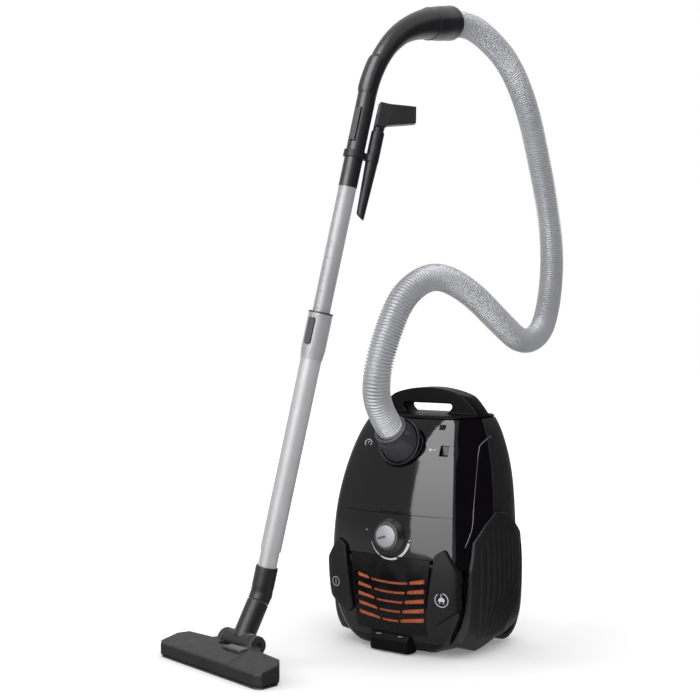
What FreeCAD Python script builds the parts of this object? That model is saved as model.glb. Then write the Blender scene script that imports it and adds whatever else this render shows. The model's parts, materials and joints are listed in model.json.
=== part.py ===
import FreeCAD, Part
import math
import os

os.makedirs("parts", exist_ok=True)

V = FreeCAD.Vector
X_AXIS = V(1, 0, 0)
Y_AXIS = V(0, 1, 0)
Z_AXIS = V(0, 0, 1)

# Frame: millimetres, +Z up, origin on the floor under the middle of the parked canister.
# The canister's front, with its knob, faces -Y, and someone who faces it has +X on the right.

# Canister body. Each station gives the height and, there, the half width at the front edges,
# the half width of the sides, the front edge, the middle of the front and the back.
BODY_STATIONS = [
    (8, 74, 100, -83, -93, 92),
    (40, 104, 126, -92, -102, 104),
    (90, 119, 140, -97, -108, 106),
    (150, 124, 145, -98, -109, 106),
    (200, 123, 146, -95, -106, 106),
    (257, 118, 143, -88, -98, 105),
    (300, 112, 138, -77, -87, 104),
    (341, 104, 129, -63, -73, 101),
    (384, 92, 115, -42, -52, 93),
    (412, 78, 98, -22, -31, 84),
    (434, 58, 77, -2, -9, 74),
    (448, 38, 52, 12, 8, 62),
]
WALL = 3.0
SIDE_SET_IN = 1.2
BASE_TRAY_TOP = 24.0
SEAM = 0.4
FIT_GAP = 0.1
SOFT_GAP = 0.3
FRONT_MARK = 3.0
SIDE_MARK = 3.02
SPLIT_MARK = 4.35

# Front panel: the exhaust door, the control panel and the dust lid, from the floor up.
DOOR_TOP = 166.0
DOOR_OUTLINE = [(-71, 36), (71, 36), (71, 67), (80, 166), (-80, 166), (-71, 67)]
LID_BOTTOM = 238.0
LID_TOP = 396.0
GRILLE_ROWS = 5
GRILLE_TOP_ROW_Z = 121.0
GRILLE_PITCH = 16.4
GRILLE_DROP = 9.0
GRILLE_HALF_WIDTH = 70.5
GRILLE_TAPER = 0.9
MID_SLOT_HALF = 37.5
MID_SLOT_TAPER = 5.1
MID_SLOT_HEIGHT = 4.5
WEDGE_HEIGHT = 8.0
SLOT_BRIDGE = 2.2
FOAM_THICKNESS = 11.0

# Hose inlet on the front, and the connector in it.
INLET_TILT = 14.0
CONNECTOR_BASE_RADIUS = 36.0
CONNECTOR_NECK_RADIUS = 29.0
CONNECTOR_MOUTH = V(0, -104, 383)
CONNECTOR_RISE = 40.0
CONNECTOR_REACH = 38.0
CONNECTOR_BASE_DEPTH = 20.0
SPIGOT_RADIUS = 21.0
SPIGOT_HOLE_RADIUS = SPIGOT_RADIUS + 4
HOLDER_REACH = 54.0
HOLDER_THICKNESS = 4.0
BUTTON_SETBACK = 12.0
BUTTON_RADIUS = 5.0
BUTTON_TRAVEL = 1.5
BUTTON_PROUD = 2.2
INLET_RING_RADIUS = 44.0

# Carry handle's window.
WINDOW_BOTTOM = 402.0
WINDOW_TOP = 420.0
WINDOW_HALF_BOTTOM = 40.0
WINDOW_HALF_TOP = 57.0
ARCH_FRONT = 18.0
ARCH_BACK = 56.0

# Knob, pedals and tab.
KNOB_Z = 200.0
KNOB_TILT = 5.5
KNOB_RADIUS = 31.0
KNOB_TOP_RADIUS = 23.0
KNOB_HEIGHT = 11.0
KNOB_FACE_RADIUS = 18.5
KNOB_SHAFT_RADIUS = 4.0
PEDAL_OUTLINE = [(90, 176), (108, 187), (131, 150), (127, 85), (89, 58), (74, 67)]
PEDAL_PROUD = 6.0
PEDAL_STEM_RADIUS = 6.0
PEDAL_STEM_X = 103.0
PEDAL_STEM_Z = 118.0
GUIDE_Y = -78.0
GUIDE_LENGTH = 12.0
STEM_END_Y = -68.0
BOARD_Y = -86.0
POT_START = WALL + 1
POT_RADIUS = 9.0
POT_LENGTH = 16.0
KNOB_SHAFT_LENGTH = 18.0
LATCH_X = 70.0
LATCH_Z = 384.0
TAB_HALF_WIDTH = 42.0
TAB_TOP = 35.6
TAB_ROOM = 1.0
LATCH_PIN_Y = -93.0
LATCH_PIN_Z = 31.0
LUG_WIDTH = 3.0
PIN_RADIUS = 1.8
BARREL_RADIUS = 3.3
BARREL_HALF = 9.0
HINGE_HALF = 22.0
HINGE_DEPTH = 3.8
HINGE_RISE = 3.0
HINGE_RADIUS = math.hypot(HINGE_DEPTH, HINGE_RISE)
HINGE_BEHIND = 2.6
PEDAL_GAP = 1.0

FLAG_X = 84.0
FLAG_Z = 346.0
FLAG_DEPTH = 7.0
FLAG_PIN_RADIUS = 1.2
FLAG_LUG_X = 8.2

# Wheels, castor and feet.
WHEEL_RADIUS = 54.0
WHEEL_WIDTH = 22.0
WHEEL_X = 112.0
WHEEL_Y = 65.0
WHEEL_Z = 62.0
AXLE_RADIUS = 6.0
RUNNING_CLEARANCE = 0.05
WHEEL_COVER_OUTLINE = [
    (2, 240), (-28, 224), (-62, 196), (-72, 150), (-72, 70), (-74, 22), (-50, 12), (-28, 5), (-14, 10),
    (10, 22), (50, 27), (90, 42), (99, 120), (88, 196), (40, 236),
]
COVER_STATIONS = [
    (-6, 92, 122, -82, -92, 106),
    (8, 101, 132, -86, -96, 108),
    (40, 119, 149, -95, -105, 110),
    (90, 124, 156, -98, -110, 111),
    (150, 128, 157, -99, -111, 111),
    (200, 126, 154, -96, -108, 110),
    (257, 118, 146, -88, -98, 108),
]
COVER_BODY_LOW = (-6, 66, 90, -80, -90, 88)
CASTOR_Z = 322.0
CASTOR_RADIUS = 16.0
CASTOR_TRAIL = 11.0
CASTOR_FLOOR_Y = 76.0
CASTOR_POCKET = 31.0
CASTOR_PIN = 4.0
CASTOR_WIDTH = 14.0
CASTOR_AXLE_Y = 103.0
OUTLET_X = 52.0
OUTLET_Z = 36.0
OUTLET_RADIUS = 9.0
SCREW_PLACES = [(-84, 262), (84, 262), (-70, 160), (70, 160)]
SCREW_RADIUS = 3.5
FOOT_HALF = 66.0
FOOT_FRONT = -62.0
FOOT_BACK = 70.0
FOOT_WIDTH = 16.0
FOOT_PLUG_RADIUS = 4.0

# Motor, reel and bag inside.
DECK_Z = 226.0
DECK_THICKNESS = 4.0
MOTOR_X = -46.0
MOTOR_Y = 12.0
MOTOR_RADIUS = 50.0
MOTOR_BOTTOM = 58.0
MOTOR_TOP = 190.0
MOTOR_WALL = 2.5
MOTOR_BOSS_RADIUS = 11.0
INTAKE_RADIUS = 24.0
LEG_CIRCLE = 40.0
ROTOR_RADIUS = 28.0
IMPELLER_RADIUS = 43.0
SHAFT_RADIUS = 5.0
REEL_X = 53.0
REEL_Y = 4.0
REEL_Z = 112.0
REEL_RADIUS = 68.0
REEL_WIDTH = 56.0
REEL_HUB = 26.0
BAG_HALF_WIDTH = 84.0
BAG_FRONT = -34.0
BAG_BACK = 70.0
BAG_BOTTOM = 240.0
BAG_TOP = 346.0

# Wand: its foot is where the lower tube's neck ends in the nozzle's socket.
WAND_FOOT = V(-153.3, -245.3, 154.3)
WAND_DIRECTION = V(0.1583, 0.1358, 0.9780)
NECK_RADIUS = 16.0
NECK_LENGTH = 27.0
SOCKET_DEPTH = 30.0
UPPER_TUBE_RADIUS = 15.0
LOWER_TUBE_RADIUS = UPPER_TUBE_RADIUS + 2.75
LOWER_TUBE_END = 362.0
LOCK_TOP = LOWER_TUBE_END + 72
LOCK_RADIUS = LOWER_TUBE_RADIUS + 2.75
LOCK_BUTTON_TOP = LOCK_TOP - 10
LOCK_BUTTON_LENGTH = 40.0
UPPER_TUBE_BOTTOM = 240.0
HANDLE_BOTTOM = 650.0
TUBE_WALL = 1.0
SLIDE_CLEARANCE = 0.05
SWAGE_LENGTH = 40.0
SWAGE_RADIUS = UPPER_TUBE_RADIUS - 1.6

# Handle: straight part, two bends and the hose cuff.
BEND_START = HANDLE_BOTTOM + 155
HANDLE_RADIUS = UPPER_TUBE_RADIUS + 0.8
BEND_RADIUS = 170.0
BEND_ANGLE = 55.0
SECOND_BEND_RADIUS = 300.0
SECOND_BEND_ANGLE = 15.0
CUFF_RUN = 66.0
GRIP_RADII = [(0, HANDLE_RADIUS), (50, HANDLE_RADIUS + 0.2), (100, 17),
              (150, 19.5), (190, 23), (225, 26.5), (260, 30), (308, 31)]
HANDLE_WALL = 2.5
RELEASE_START = HANDLE_BOTTOM + 77
RELEASE_LENGTH = 57.0

# Accessory tool clipped beside the handle.
TOOL_SIDE_ANGLE = -48.0
TOOL_RADIUS = 11.3
TOOL_OFFSET = HANDLE_RADIUS + TOOL_RADIUS + 3.9
TOOL_BOTTOM = HANDLE_BOTTOM - 53
TOOL_TOP = TOOL_BOTTOM + 204
TOOL_TIP_RADIUS = 7.0
CLIP_START = TOOL_BOTTOM + 103
CLIP_HEIGHT = 12.0
SLIDER_START = 2.0
SLIDER_END = 22.0
SLIDER_TRAVEL = 1.2
NOTCH_COUNT = 5
NOTCH_START = 440.0
NOTCH_PITCH = 28.0

# Hose.
HOSE_RADIUS = 23.5
HOSE_ROOT_RADIUS = 21.6
HOSE_BORE_RADIUS = 19.0
HOSE_RIBS = 160
HOSE_SEAT = 30.0
HOSE_SPAN = 24
HOSE_MIDDLE = [
    (14, -168, 478), (26, -146, 556), (40, -120, 614), (53, -44, 648),
    (61, 60, 620), (66, 160, 567), (63, 262, 522), (55, 362, 540), (42, 428, 610), (27, 472, 706),
    (15, 474, 800), (10, 440, 900), (7, 394, 1000), (6, 318, 1075), (7, 218, 1108),
]
CONNECTOR_LEAD = 51.0
CUFF_LEAD = 52.0

# Floor nozzle.
NOZZLE_YAW = 12.0
NOZZLE_LENGTH = 272.0
NOZZLE_END_DEPTH = 56.0
NOZZLE_MIDDLE_DEPTH = 84.0
NOZZLE_FRONT_HEIGHT = 24.0
NOZZLE_BACK_HEIGHT = 36.0
SOLE_THICKNESS = 4.0
DRUM_SETBACK = 80.0
DRUM_OFFSET = 8.0
DRUM_Z = 34.0
DRUM_RADIUS = 17.0
DRUM_LENGTH = 66.0
NECK_BACK_ANGLE = 60.0
ELBOW_BELOW_FOOT = 48.0
SWIVEL_RADIUS = 19.0
ROLLER_RADIUS = 7.0
ROLLER_X = 62.0
ROLLER_Y = -30.0
ROLLER_AXLE_RADIUS = 2.0
SOCKET_OUTER = 19.0
DUCT_RADIUS = 13.0
SWIVEL_DROP = 14.0
PIVOT_RADIUS = 6.0
CHEEK_WIDTH = 11.0
SOLE_TOP = 4.0
BRUSH_LOW = 1.4
BRUSH_Y = -42.5
BRUSH_RAISED = 1.3
ROCKER_X = 6.0
ROCKER_WIDTH = 44.0
ROCKER_Y = -33.0
ROCKER_PIN_Z = 28.5


# Small helpers.

def slab(x0, y0, z0, x1, y1, z1):
    return Part.makeBox(x1 - x0, y1 - y0, z1 - z0, V(x0, y0, z0))


def rod(start, direction, radius, length):
    return Part.makeCylinder(radius, length, start, direction)


def tube(start, direction, outer, inner, length):
    return rod(start, direction, outer, length).cut(rod(start, direction, inner, length))


def cone(start, direction, radius0, radius1, length):
    return Part.makeCone(radius0, radius1, length, start, direction)


def fused(shapes):
    whole = shapes[0].multiFuse(shapes[1:]) if len(shapes) > 1 else shapes[0]
    return whole.removeSplitter()


def between(table, z):
    """Each value of the table at height z, straight between its stations."""
    low = table[0]
    for high in table[1:]:
        if z <= high[0]:
            share = (z - low[0]) / (high[0] - low[0])
            return [a + (b - a) * share for a, b in zip(low[1:], high[1:])]
        low = high
    return list(table[-1][1:])


def prism(points, plane, start, end):
    """A prism on a closed outline drawn in the xz or yz plane, from start to end along the third axis."""
    if plane == "xz":
        corners = [V(a, start, b) for a, b in points]
        step = V(0, end - start, 0)
    else:
        corners = [V(start, a, b) for a, b in points]
        step = V(end - start, 0, 0)
    return Part.Face(Part.makePolygon(corners + corners[:1])).extrude(step)


def round_upright(shape, radius, direction):
    """Rounds the straight edges of a prism that run along a direction."""
    edges = []
    for edge in shape.Edges:
        if abs(abs(edge.tangentAt(edge.FirstParameter).dot(direction)) - 1) < 1e-6:
            edges.append(edge)
    return shape.makeFillet(radius, edges)


def grown(points, by):
    """An outline moved outwards by a distance, about its middle."""
    middle_a = sum(p[0] for p in points) / len(points)
    middle_b = sum(p[1] for p in points) / len(points)
    moved = []
    for a, b in points:
        length = math.hypot(a - middle_a, b - middle_b)
        share = (length + by) / length
        moved.append((middle_a + (a - middle_a) * share, middle_b + (b - middle_b) * share))
    return moved


def largest(shape):
    return max(shape.Solids, key=lambda solid: solid.Volume)


def mirrored(shape):
    return shape.mirror(V(0, 0, 0), X_AXIS)


# Canister shell.

def section_curve(station, inset, seam_at_front):
    """One closed level section, with tight front edges and rounder back corners."""
    z, half_front, half_side, edge_y, front_y, back_y = station
    wf = half_front - inset
    ws = half_side - inset
    ye = edge_y + inset
    yf = front_y + inset
    yb = back_y - inset
    depth = yb - ye
    right = [
        (0.45 * wf, yf + 0.05 * (ye - yf)),
        (0.86 * wf, ye - 0.30 * (ye - yf)),
        (wf - 0.5, ye - 0.5),
        (wf + 0.30 * (ws - wf), ye + 9),
        (ws, ye + 0.36 * depth),
        (ws, ye + 0.68 * depth),
        (0.985 * ws, yb - 0.10 * depth),
        (0.90 * ws, yb - 1),
        (0.50 * ws, yb),
    ]
    left = [(-x, y) for x, y in reversed(right)]
    ring = right + left if seam_at_front else left + right
    poles = [V(x, y, z) for x, y in ring]
    count = len(poles)
    curve = Part.BSplineCurve()
    curve.buildFromPolesMultsKnots(poles, [1] * (count + 1), list(range(count + 1)), True, 3)
    return curve


def body_form(inset):
    """The canister's closed form, moved inwards by a distance all round."""
    wires = []
    for index, station in enumerate(BODY_STATIONS):
        level = station[0]
        if index == 0:
            level += inset
        if index == len(BODY_STATIONS) - 1:
            level -= inset
        curve = section_curve((level,) + station[1:], inset, True)
        wires.append(Part.Wire([curve.toShape()]))
    return Part.makeLoft(wires, True, False)


def strip(outer_stations, outer_inset, inner_stations, inner_inset, start, end, seam_at_front):
    """A thick band of the skin between two marks along the section, over the whole height."""
    wires = []
    for outer_station, inner_station in zip(outer_stations, inner_stations):
        outer = section_curve(outer_station, outer_inset, seam_at_front)
        inner = section_curve(inner_station, inner_inset, seam_at_front)
        wires.append(Part.Wire([
            outer.toShape(start, end),
            Part.makeLine(outer.value(end), inner.value(end)),
            inner.toShape(start, end),
            Part.makeLine(inner.value(start), outer.value(start)),
        ]))
    return Part.makeLoft(wires, True, False)


def front_strip(outer_inset, inner_inset, mark):
    return strip(BODY_STATIONS, outer_inset, BODY_STATIONS, inner_inset, 7 - mark, 8 + mark, False)


def right_strip(outer_inset, inner_inset, start_mark, end_mark):
    return strip(BODY_STATIONS, outer_inset, BODY_STATIONS, inner_inset, start_mark - 1, end_mark - 1, True)


def rear_strip(outer_inset, inner_inset, mark):
    return strip(BODY_STATIONS, outer_inset, BODY_STATIONS, inner_inset, mark - 1, 16 - mark, True)


OUTER = body_form(0)
INNER = body_form(WALL + FIT_GAP)


def surface_y(x, z):
    """Where the front's outside lies, at a place on it."""
    line = Part.makeLine(V(x, -200, z), V(x, 0, z))
    return line.common(OUTER).BoundBox.YMin


def front_normal(rise):
    """A direction out of the front, raised by an angle in degrees."""
    return V(0, -math.cos(math.radians(rise)), math.sin(math.radians(rise)))


def along_x(y, z, x0, x1, radius):
    return rod(V(x0, y, z), X_AXIS, radius, x1 - x0)


def levels(z0, z1):
    return slab(-300, -300, z0, 300, 300, z1)


INLET_NORMAL = front_normal(INLET_TILT)
CONNECTOR_AXIS = front_normal(CONNECTOR_RISE)
INLET = CONNECTOR_MOUTH - CONNECTOR_AXIS * CONNECTOR_REACH
KNOB_AXIS = front_normal(KNOB_TILT)
KNOB_SEAT = V(0, surface_y(0, KNOB_Z), KNOB_Z) + KNOB_AXIS * 0.5
LID_HINGE = (surface_y(0, LID_BOTTOM) + HINGE_DEPTH, LID_BOTTOM + HINGE_RISE)
DOOR_HINGE = (surface_y(0, DOOR_TOP) + HINGE_DEPTH, DOOR_TOP - HINGE_RISE)
BODY_BOTTOM = BODY_STATIONS[0][0]
FLOOR_Z = BODY_BOTTOM + WALL + FIT_GAP
BUTTON_FLOOR = HOSE_RADIUS + 1.2
WELL_X = WHEEL_X - 4
WELL_RADIUS = WHEEL_RADIUS + 4


def inlet_notch(radius):
    """The U-shaped place round the hose inlet, open at the top of the lid."""
    hole = rod(INLET - INLET_NORMAL * 60, INLET_NORMAL, radius, 100)
    return hole.fuse(slab(-radius, -140, INLET.z, radius, 0, LID_TOP + 10))


def hinge_sweep(hinge, edge_z):
    """The round space that a panel's edge passes through as it turns on its hinge."""
    profile = [V(-128, hinge[0], hinge[1])]
    for x in range(-128, 129, 16):
        front = surface_y(max(-112, min(112, x)), edge_z)
        reach = math.hypot(min(0, front - hinge[0]), edge_z - hinge[1]) + SEAM
        profile.append(V(x, hinge[0], hinge[1] + reach))
    profile.append(V(128, hinge[0], hinge[1]))
    face = Part.Face(Part.makePolygon(profile + profile[:1]))
    return face.revolve(V(0, hinge[0], hinge[1]), X_AXIS, 360)


def add_hinge(fixed, moving, hinge, edge_z):
    """Cuts the swept space and gives both panels their barrels, bored for the pin."""
    y, z = hinge
    middle = along_x(y, z, -BARREL_HALF, BARREL_HALF, BARREL_RADIUS)
    outer_x = BARREL_HALF + SEAM
    right = along_x(y, z, outer_x, HINGE_HALF, BARREL_RADIUS)
    left = along_x(y, z, -HINGE_HALF, -outer_x, BARREL_RADIUS)
    relief = along_x(y, z, -HINGE_HALF - SEAM, HINGE_HALF + SEAM, BARREL_RADIUS + SEAM)
    fixed = fixed.cut(hinge_sweep(hinge, edge_z)).cut(relief)
    moving = moving.cut(relief)
    fixed = fused([fixed] + [knuckle(bar, hinge, edge_z, False) for bar in (right, left)])
    moving = fused([moving, knuckle(middle, hinge, edge_z, True)])
    bore = along_x(y, z, -HINGE_HALF - 1, HINGE_HALF + 1, PIN_RADIUS + RUNNING_CLEARANCE)
    return largest(fixed.cut(bore)), largest(moving.cut(bore))


def knuckle(barrel, hinge, edge_z, moving):
    """A hinge barrel with the rib that ties it to its own panel. The fixed ones go round behind."""
    y, z = hinge
    box = barrel.BoundBox
    reach = 9 if (edge_z < z) == moving else -9
    front = y - HINGE_DEPTH + 1
    if moving:
        rib = slab(box.XMin, front, min(z, z + reach), box.XMax, y + 1.5, max(z, z + reach))
        return barrel.fuse(rib).common(OUTER)
    back = y + BARREL_RADIUS + 2
    clear = z + math.copysign(HINGE_RADIUS + SEAM, reach)
    behind = slab(box.XMin, y + HINGE_BEHIND, min(z, z + reach), box.XMax, back, max(z, z + reach))
    foot = slab(box.XMin, front, min(clear, z + reach), box.XMax, back, max(clear, z + reach))
    return barrel.fuse(behind).fuse(foot).common(OUTER)


def pedal_prism(by):
    return round_upright(prism(grown(PEDAL_OUTLINE, by), "xz", -160, -15), 6, Y_AXIS)


PEDAL_POCKET = pedal_prism(PEDAL_GAP)
PEDAL_POCKETS = PEDAL_POCKET.fuse(mirrored(PEDAL_POCKET))


def tab_form(gap, room=0):
    """The latch tab, or with a gap and room for its press the space for it."""
    half = TAB_HALF_WIDTH + gap
    top = TAB_TOP + gap
    profile = [(-84 + gap, top), (-96, top + room / 3), (-103, top - 3 + room), (-109 - gap, 24),
               (-109 - gap, 8), (-105, 1.5 - gap), (-84 + gap, 3 - gap - room)]
    block = prism(profile, "yz", -half, half)
    plan = [(-half, -80), (-half, -94), (-half + 9, -120), (half - 9, -120), (half, -94), (half, -80)]
    corners = [V(x, y, -2) for x, y in plan]
    return block.common(Part.Face(Part.makePolygon(corners + corners[:1])).extrude(V(0, 0, 50)))


def latch_pin(gap, half):
    return along_x(LATCH_PIN_Y, LATCH_PIN_Z, -half, half, PIN_RADIUS + gap)


def door_latch():
    return tab_form(0).cut(latch_pin(RUNNING_CLEARANCE, TAB_HALF_WIDTH + 1))


def latch_lugs():
    """The two lugs behind the panel that carry the latch tab's pin."""
    lugs = []
    top = DOOR_OUTLINE[0][1] - SEAM
    for low in (-TAB_HALF_WIDTH - SEAM - LUG_WIDTH, TAB_HALF_WIDTH + SEAM):
        lug = slab(low, LATCH_PIN_Y - 10, LATCH_PIN_Z - 4, low + LUG_WIDTH, LATCH_PIN_Y + 4, top)
        lugs.append(lug.common(body_form(WALL / 2)))
    return lugs


def wheel_well(extra):
    right = along_x(WHEEL_Y, WHEEL_Z, WELL_X - extra, WELL_X + 60, WELL_RADIUS + extra)
    return right.fuse(mirrored(right))


def base_tray():
    """The base: a floor and a low wall, open for the tab and the wheels."""
    tray = OUTER.common(levels(0, BASE_TRAY_TOP - FIT_GAP)).cut(INNER)
    for hole in foot_plugs(20):
        tray = tray.cut(hole)
    return tray.cut(tab_form(SEAM, TAB_ROOM)).cut(wheel_well(WALL + FIT_GAP))


def rear_shell():
    """The matt back half, open for the wheels, the castor and the cord outlet."""
    shell = rear_strip(0, WALL, SPLIT_MARK).common(levels(BASE_TRAY_TOP, LID_TOP))
    shell = shell.cut(wheel_well(WALL + FIT_GAP))
    shell = shell.cut(rod(V(0, CASTOR_FLOOR_Y, CASTOR_Z), Y_AXIS, CASTOR_POCKET + WALL + FIT_GAP, 60))
    shell = shell.cut(rod(V(OUTLET_X, 60, OUTLET_Z), Y_AXIS, OUTLET_RADIUS, 80))
    for x, z in SCREW_PLACES:
        shell = shell.cut(rod(V(x, 80, z), Y_AXIS, SCREW_RADIUS, 60))
    return shell


def side_panel():
    """The glossy right side between the front edge and the rear shell."""
    panel = right_strip(SIDE_SET_IN, WALL, SIDE_MARK, SPLIT_MARK - 0.02)
    panel = panel.common(levels(BASE_TRAY_TOP, LID_TOP))
    return panel.cut(wheel_well(WALL + FIT_GAP)).cut(PEDAL_POCKET)


def wheel_housings():
    """The two round cups behind the wheels, and the castor's pocket."""
    cup = along_x(WHEEL_Y, WHEEL_Z, WELL_X - WALL, WELL_X + 60, WELL_RADIUS + WALL)
    cup = cup.cut(along_x(WHEEL_Y, WHEEL_Z, WELL_X, WELL_X + 60, WELL_RADIUS))
    cup = cup.common(body_form(SIDE_SET_IN)).cut(rod(V(90, WHEEL_Y, WHEEL_Z), X_AXIS, AXLE_RADIUS, 40))
    return Part.makeCompound([cup, mirrored(cup), castor_housing()])


def castor_housing():
    """The round pocket in the back in which the castor swivels."""
    start = V(0, CASTOR_FLOOR_Y, CASTOR_Z)
    cup = rod(start, Y_AXIS, CASTOR_POCKET + WALL, 40)
    cup = cup.cut(rod(start + Y_AXIS * WALL, Y_AXIS, CASTOR_POCKET, 40)).common(OUTER)
    return cup.cut(rod(start, Y_AXIS, CASTOR_PIN + RUNNING_CLEARANCE, WALL))


def slot_row(row):
    """One row of the grille: a thin middle slot and two taller wedges that rise to the sides."""
    middle_z = GRILLE_TOP_ROW_Z - row * GRILLE_PITCH
    outer = GRILLE_HALF_WIDTH - row * GRILLE_TAPER
    inner = MID_SLOT_HALF - row * MID_SLOT_TAPER
    start = inner + SLOT_BRIDGE
    shoulder = start + 6

    def rise(x):
        return middle_z + GRILLE_DROP * (x / GRILLE_HALF_WIDTH) ** 2

    def at(x, offset):
        return (x, rise(x) + offset)

    thin = MID_SLOT_HEIGHT / 2
    tall = WEDGE_HEIGHT / 2
    steps = [-inner, -inner / 2, 0, inner / 2, inner]
    middle = prism([at(x, thin) for x in steps] + [at(x, -thin) for x in reversed(steps)], "xz", -140, -60)
    wedge = [at(start, -thin), at(outer, -tall), at(outer, tall), at(shoulder, tall), at(start, thin)]
    right = prism(wedge, "xz", -140, -60)
    return [middle, right, mirrored(right)]


def front_panels():
    """The control panel, the exhaust door under it and the dust lid over it, on their hinges."""
    front = front_strip(0, WALL, FRONT_MARK)
    panel = front.common(levels(BASE_TRAY_TOP, LID_BOTTOM))
    door = panel.common(prism(grown(DOOR_OUTLINE, -SEAM), "xz", -160, -60))
    panel = panel.cut(prism(DOOR_OUTLINE, "xz", -160, -60)).cut(PEDAL_POCKETS).cut(tab_form(SEAM, TAB_ROOM))
    door = door.cut(fused([cut for row in range(GRILLE_ROWS) for cut in slot_row(row)]))
    lid = front.common(levels(LID_BOTTOM + SEAM, LID_TOP)).cut(inlet_notch(INLET_RING_RADIUS + SEAM))
    lid = with_flag_window(lid).cut(lid_latch(SOFT_GAP))
    panel, lid = add_hinge(panel, lid, LID_HINGE, LID_BOTTOM)
    panel, door = add_hinge(panel, door, DOOR_HINGE, DOOR_TOP)
    panel = panel.cut(rod(KNOB_SEAT - KNOB_AXIS * 30, KNOB_AXIS, KNOB_SHAFT_RADIUS + 0.3, 60))
    panel = fused([panel] + latch_lugs()).cut(latch_pin(RUNNING_CLEARANCE, 60))
    return panel, door, lid


def with_flag_window(lid):
    """The lid with the bag flag's window and the two lugs that carry the flag."""
    y = surface_y(FLAG_X, FLAG_Z)
    for low in (FLAG_X - FLAG_LUG_X - 2, FLAG_X + FLAG_LUG_X):
        lug = slab(low, y + 1, FLAG_Z + 5, low + 2, y + 11, FLAG_Z + 12)
        lid = lid.fuse(lug.common(OUTER))
    lid = lid.cut(slab(FLAG_X - 8, y - 20, FLAG_Z - 9, FLAG_X + 8, y + 20, FLAG_Z + 9))
    return lid.cut(flag_pin(RUNNING_CLEARANCE, FLAG_LUG_X + 3))


def flag_pin(gap, half):
    y = surface_y(FLAG_X, FLAG_Z) + FLAG_DEPTH
    return along_x(y, FLAG_Z + 8, FLAG_X - half, FLAG_X + half, FLAG_PIN_RADIUS + gap)


def inlet_frame():
    """The fixed piece round the hose inlet, with the cup that holds the connector."""
    plate = front_strip(0, WALL, FRONT_MARK).common(levels(INLET.z - 60, LID_TOP))
    plate = plate.common(inlet_notch(INLET_RING_RADIUS))
    cup_start = INLET - INLET_NORMAL * (CONNECTOR_BASE_DEPTH + WALL)
    cup = rod(cup_start, INLET_NORMAL, CONNECTOR_BASE_RADIUS + WALL, CONNECTOR_BASE_DEPTH)
    frame = fused([plate, cup.common(body_form(WALL / 2))])
    frame = frame.cut(rod(cup_start + INLET_NORMAL * WALL, INLET_NORMAL, CONNECTOR_BASE_RADIUS + FIT_GAP, 60))
    depth = (CONNECTOR_BASE_DEPTH + WALL / 2) / CONNECTOR_AXIS.dot(INLET_NORMAL)
    hole_middle = INLET - CONNECTOR_AXIS * depth
    return frame.cut(rod(hole_middle - INLET_NORMAL * WALL, INLET_NORMAL, SPIGOT_HOLE_RADIUS, 2 * WALL))


def carry_handle():
    """The top deck with the arched handle over it."""
    top = OUTER.common(levels(LID_TOP + SEAM, 500))
    top = top.cut(slab(-200, -200, WINDOW_BOTTOM, 200, ARCH_FRONT, 500))
    top = top.cut(slab(-200, ARCH_BACK, WINDOW_BOTTOM, 200, 200, 500))
    window = [(-WINDOW_HALF_BOTTOM, WINDOW_BOTTOM), (WINDOW_HALF_BOTTOM, WINDOW_BOTTOM),
              (WINDOW_HALF_TOP, WINDOW_TOP), (-WINDOW_HALF_TOP, WINDOW_TOP)]
    return top.cut(round_upright(prism(window, "xz", -50, 150), 5, Y_AXIS))


def lid_latch(gap=0):
    """The sprung button at the lid's upper right corner, or with a gap its hole."""
    y = surface_y(LATCH_X, LATCH_Z)
    wide = 5 + gap
    high = 4 + gap
    front = y - 1.5 - 9 * gap
    back = y + 10 + 9 * gap
    return slab(LATCH_X - wide, front, LATCH_Z - high, LATCH_X + wide, back, LATCH_Z + high)


def bag_flag():
    """The indicator flap behind its window, with its pivot along X."""
    y = surface_y(FLAG_X, FLAG_Z) + FLAG_DEPTH
    flap = slab(FLAG_X - 7, y - 0.6, FLAG_Z - 8, FLAG_X + 7, y + 0.6, FLAG_Z + 8)
    return fused([flap, flag_pin(0, FLAG_LUG_X + 1.8)])


def exhaust_foam():
    """The filter foam behind the grille."""
    foam = front_strip(WALL + SOFT_GAP, WALL + FOAM_THICKNESS, FRONT_MARK - 1)
    return foam.common(slab(-68, -140, 46, 68, -60, 153))


def hinge_pins():
    pins = []
    for y, z in (LID_HINGE, DOOR_HINGE):
        pins.append(along_x(y, z, -HINGE_HALF, HINGE_HALF, PIN_RADIUS))
    pins.append(latch_pin(0, TAB_HALF_WIDTH + SEAM + LUG_WIDTH))
    return Part.makeCompound(pins)


# Knob, pedals and what they work on.

def power_knob():
    seat = KNOB_SEAT
    base = cone(seat, KNOB_AXIS, KNOB_RADIUS, KNOB_TOP_RADIUS, KNOB_HEIGHT)
    shaft = rod(seat - KNOB_AXIS * KNOB_SHAFT_LENGTH, KNOB_AXIS, KNOB_SHAFT_RADIUS, KNOB_SHAFT_LENGTH)
    recess = rod(seat + KNOB_AXIS * (KNOB_HEIGHT - 1.5), KNOB_AXIS, KNOB_FACE_RADIUS, 5)
    return fused([base, shaft]).cut(recess)


def knob_face():
    return rod(KNOB_SEAT + KNOB_AXIS * (KNOB_HEIGHT - 1.5), KNOB_AXIS, KNOB_FACE_RADIUS, 2.1)


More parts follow.
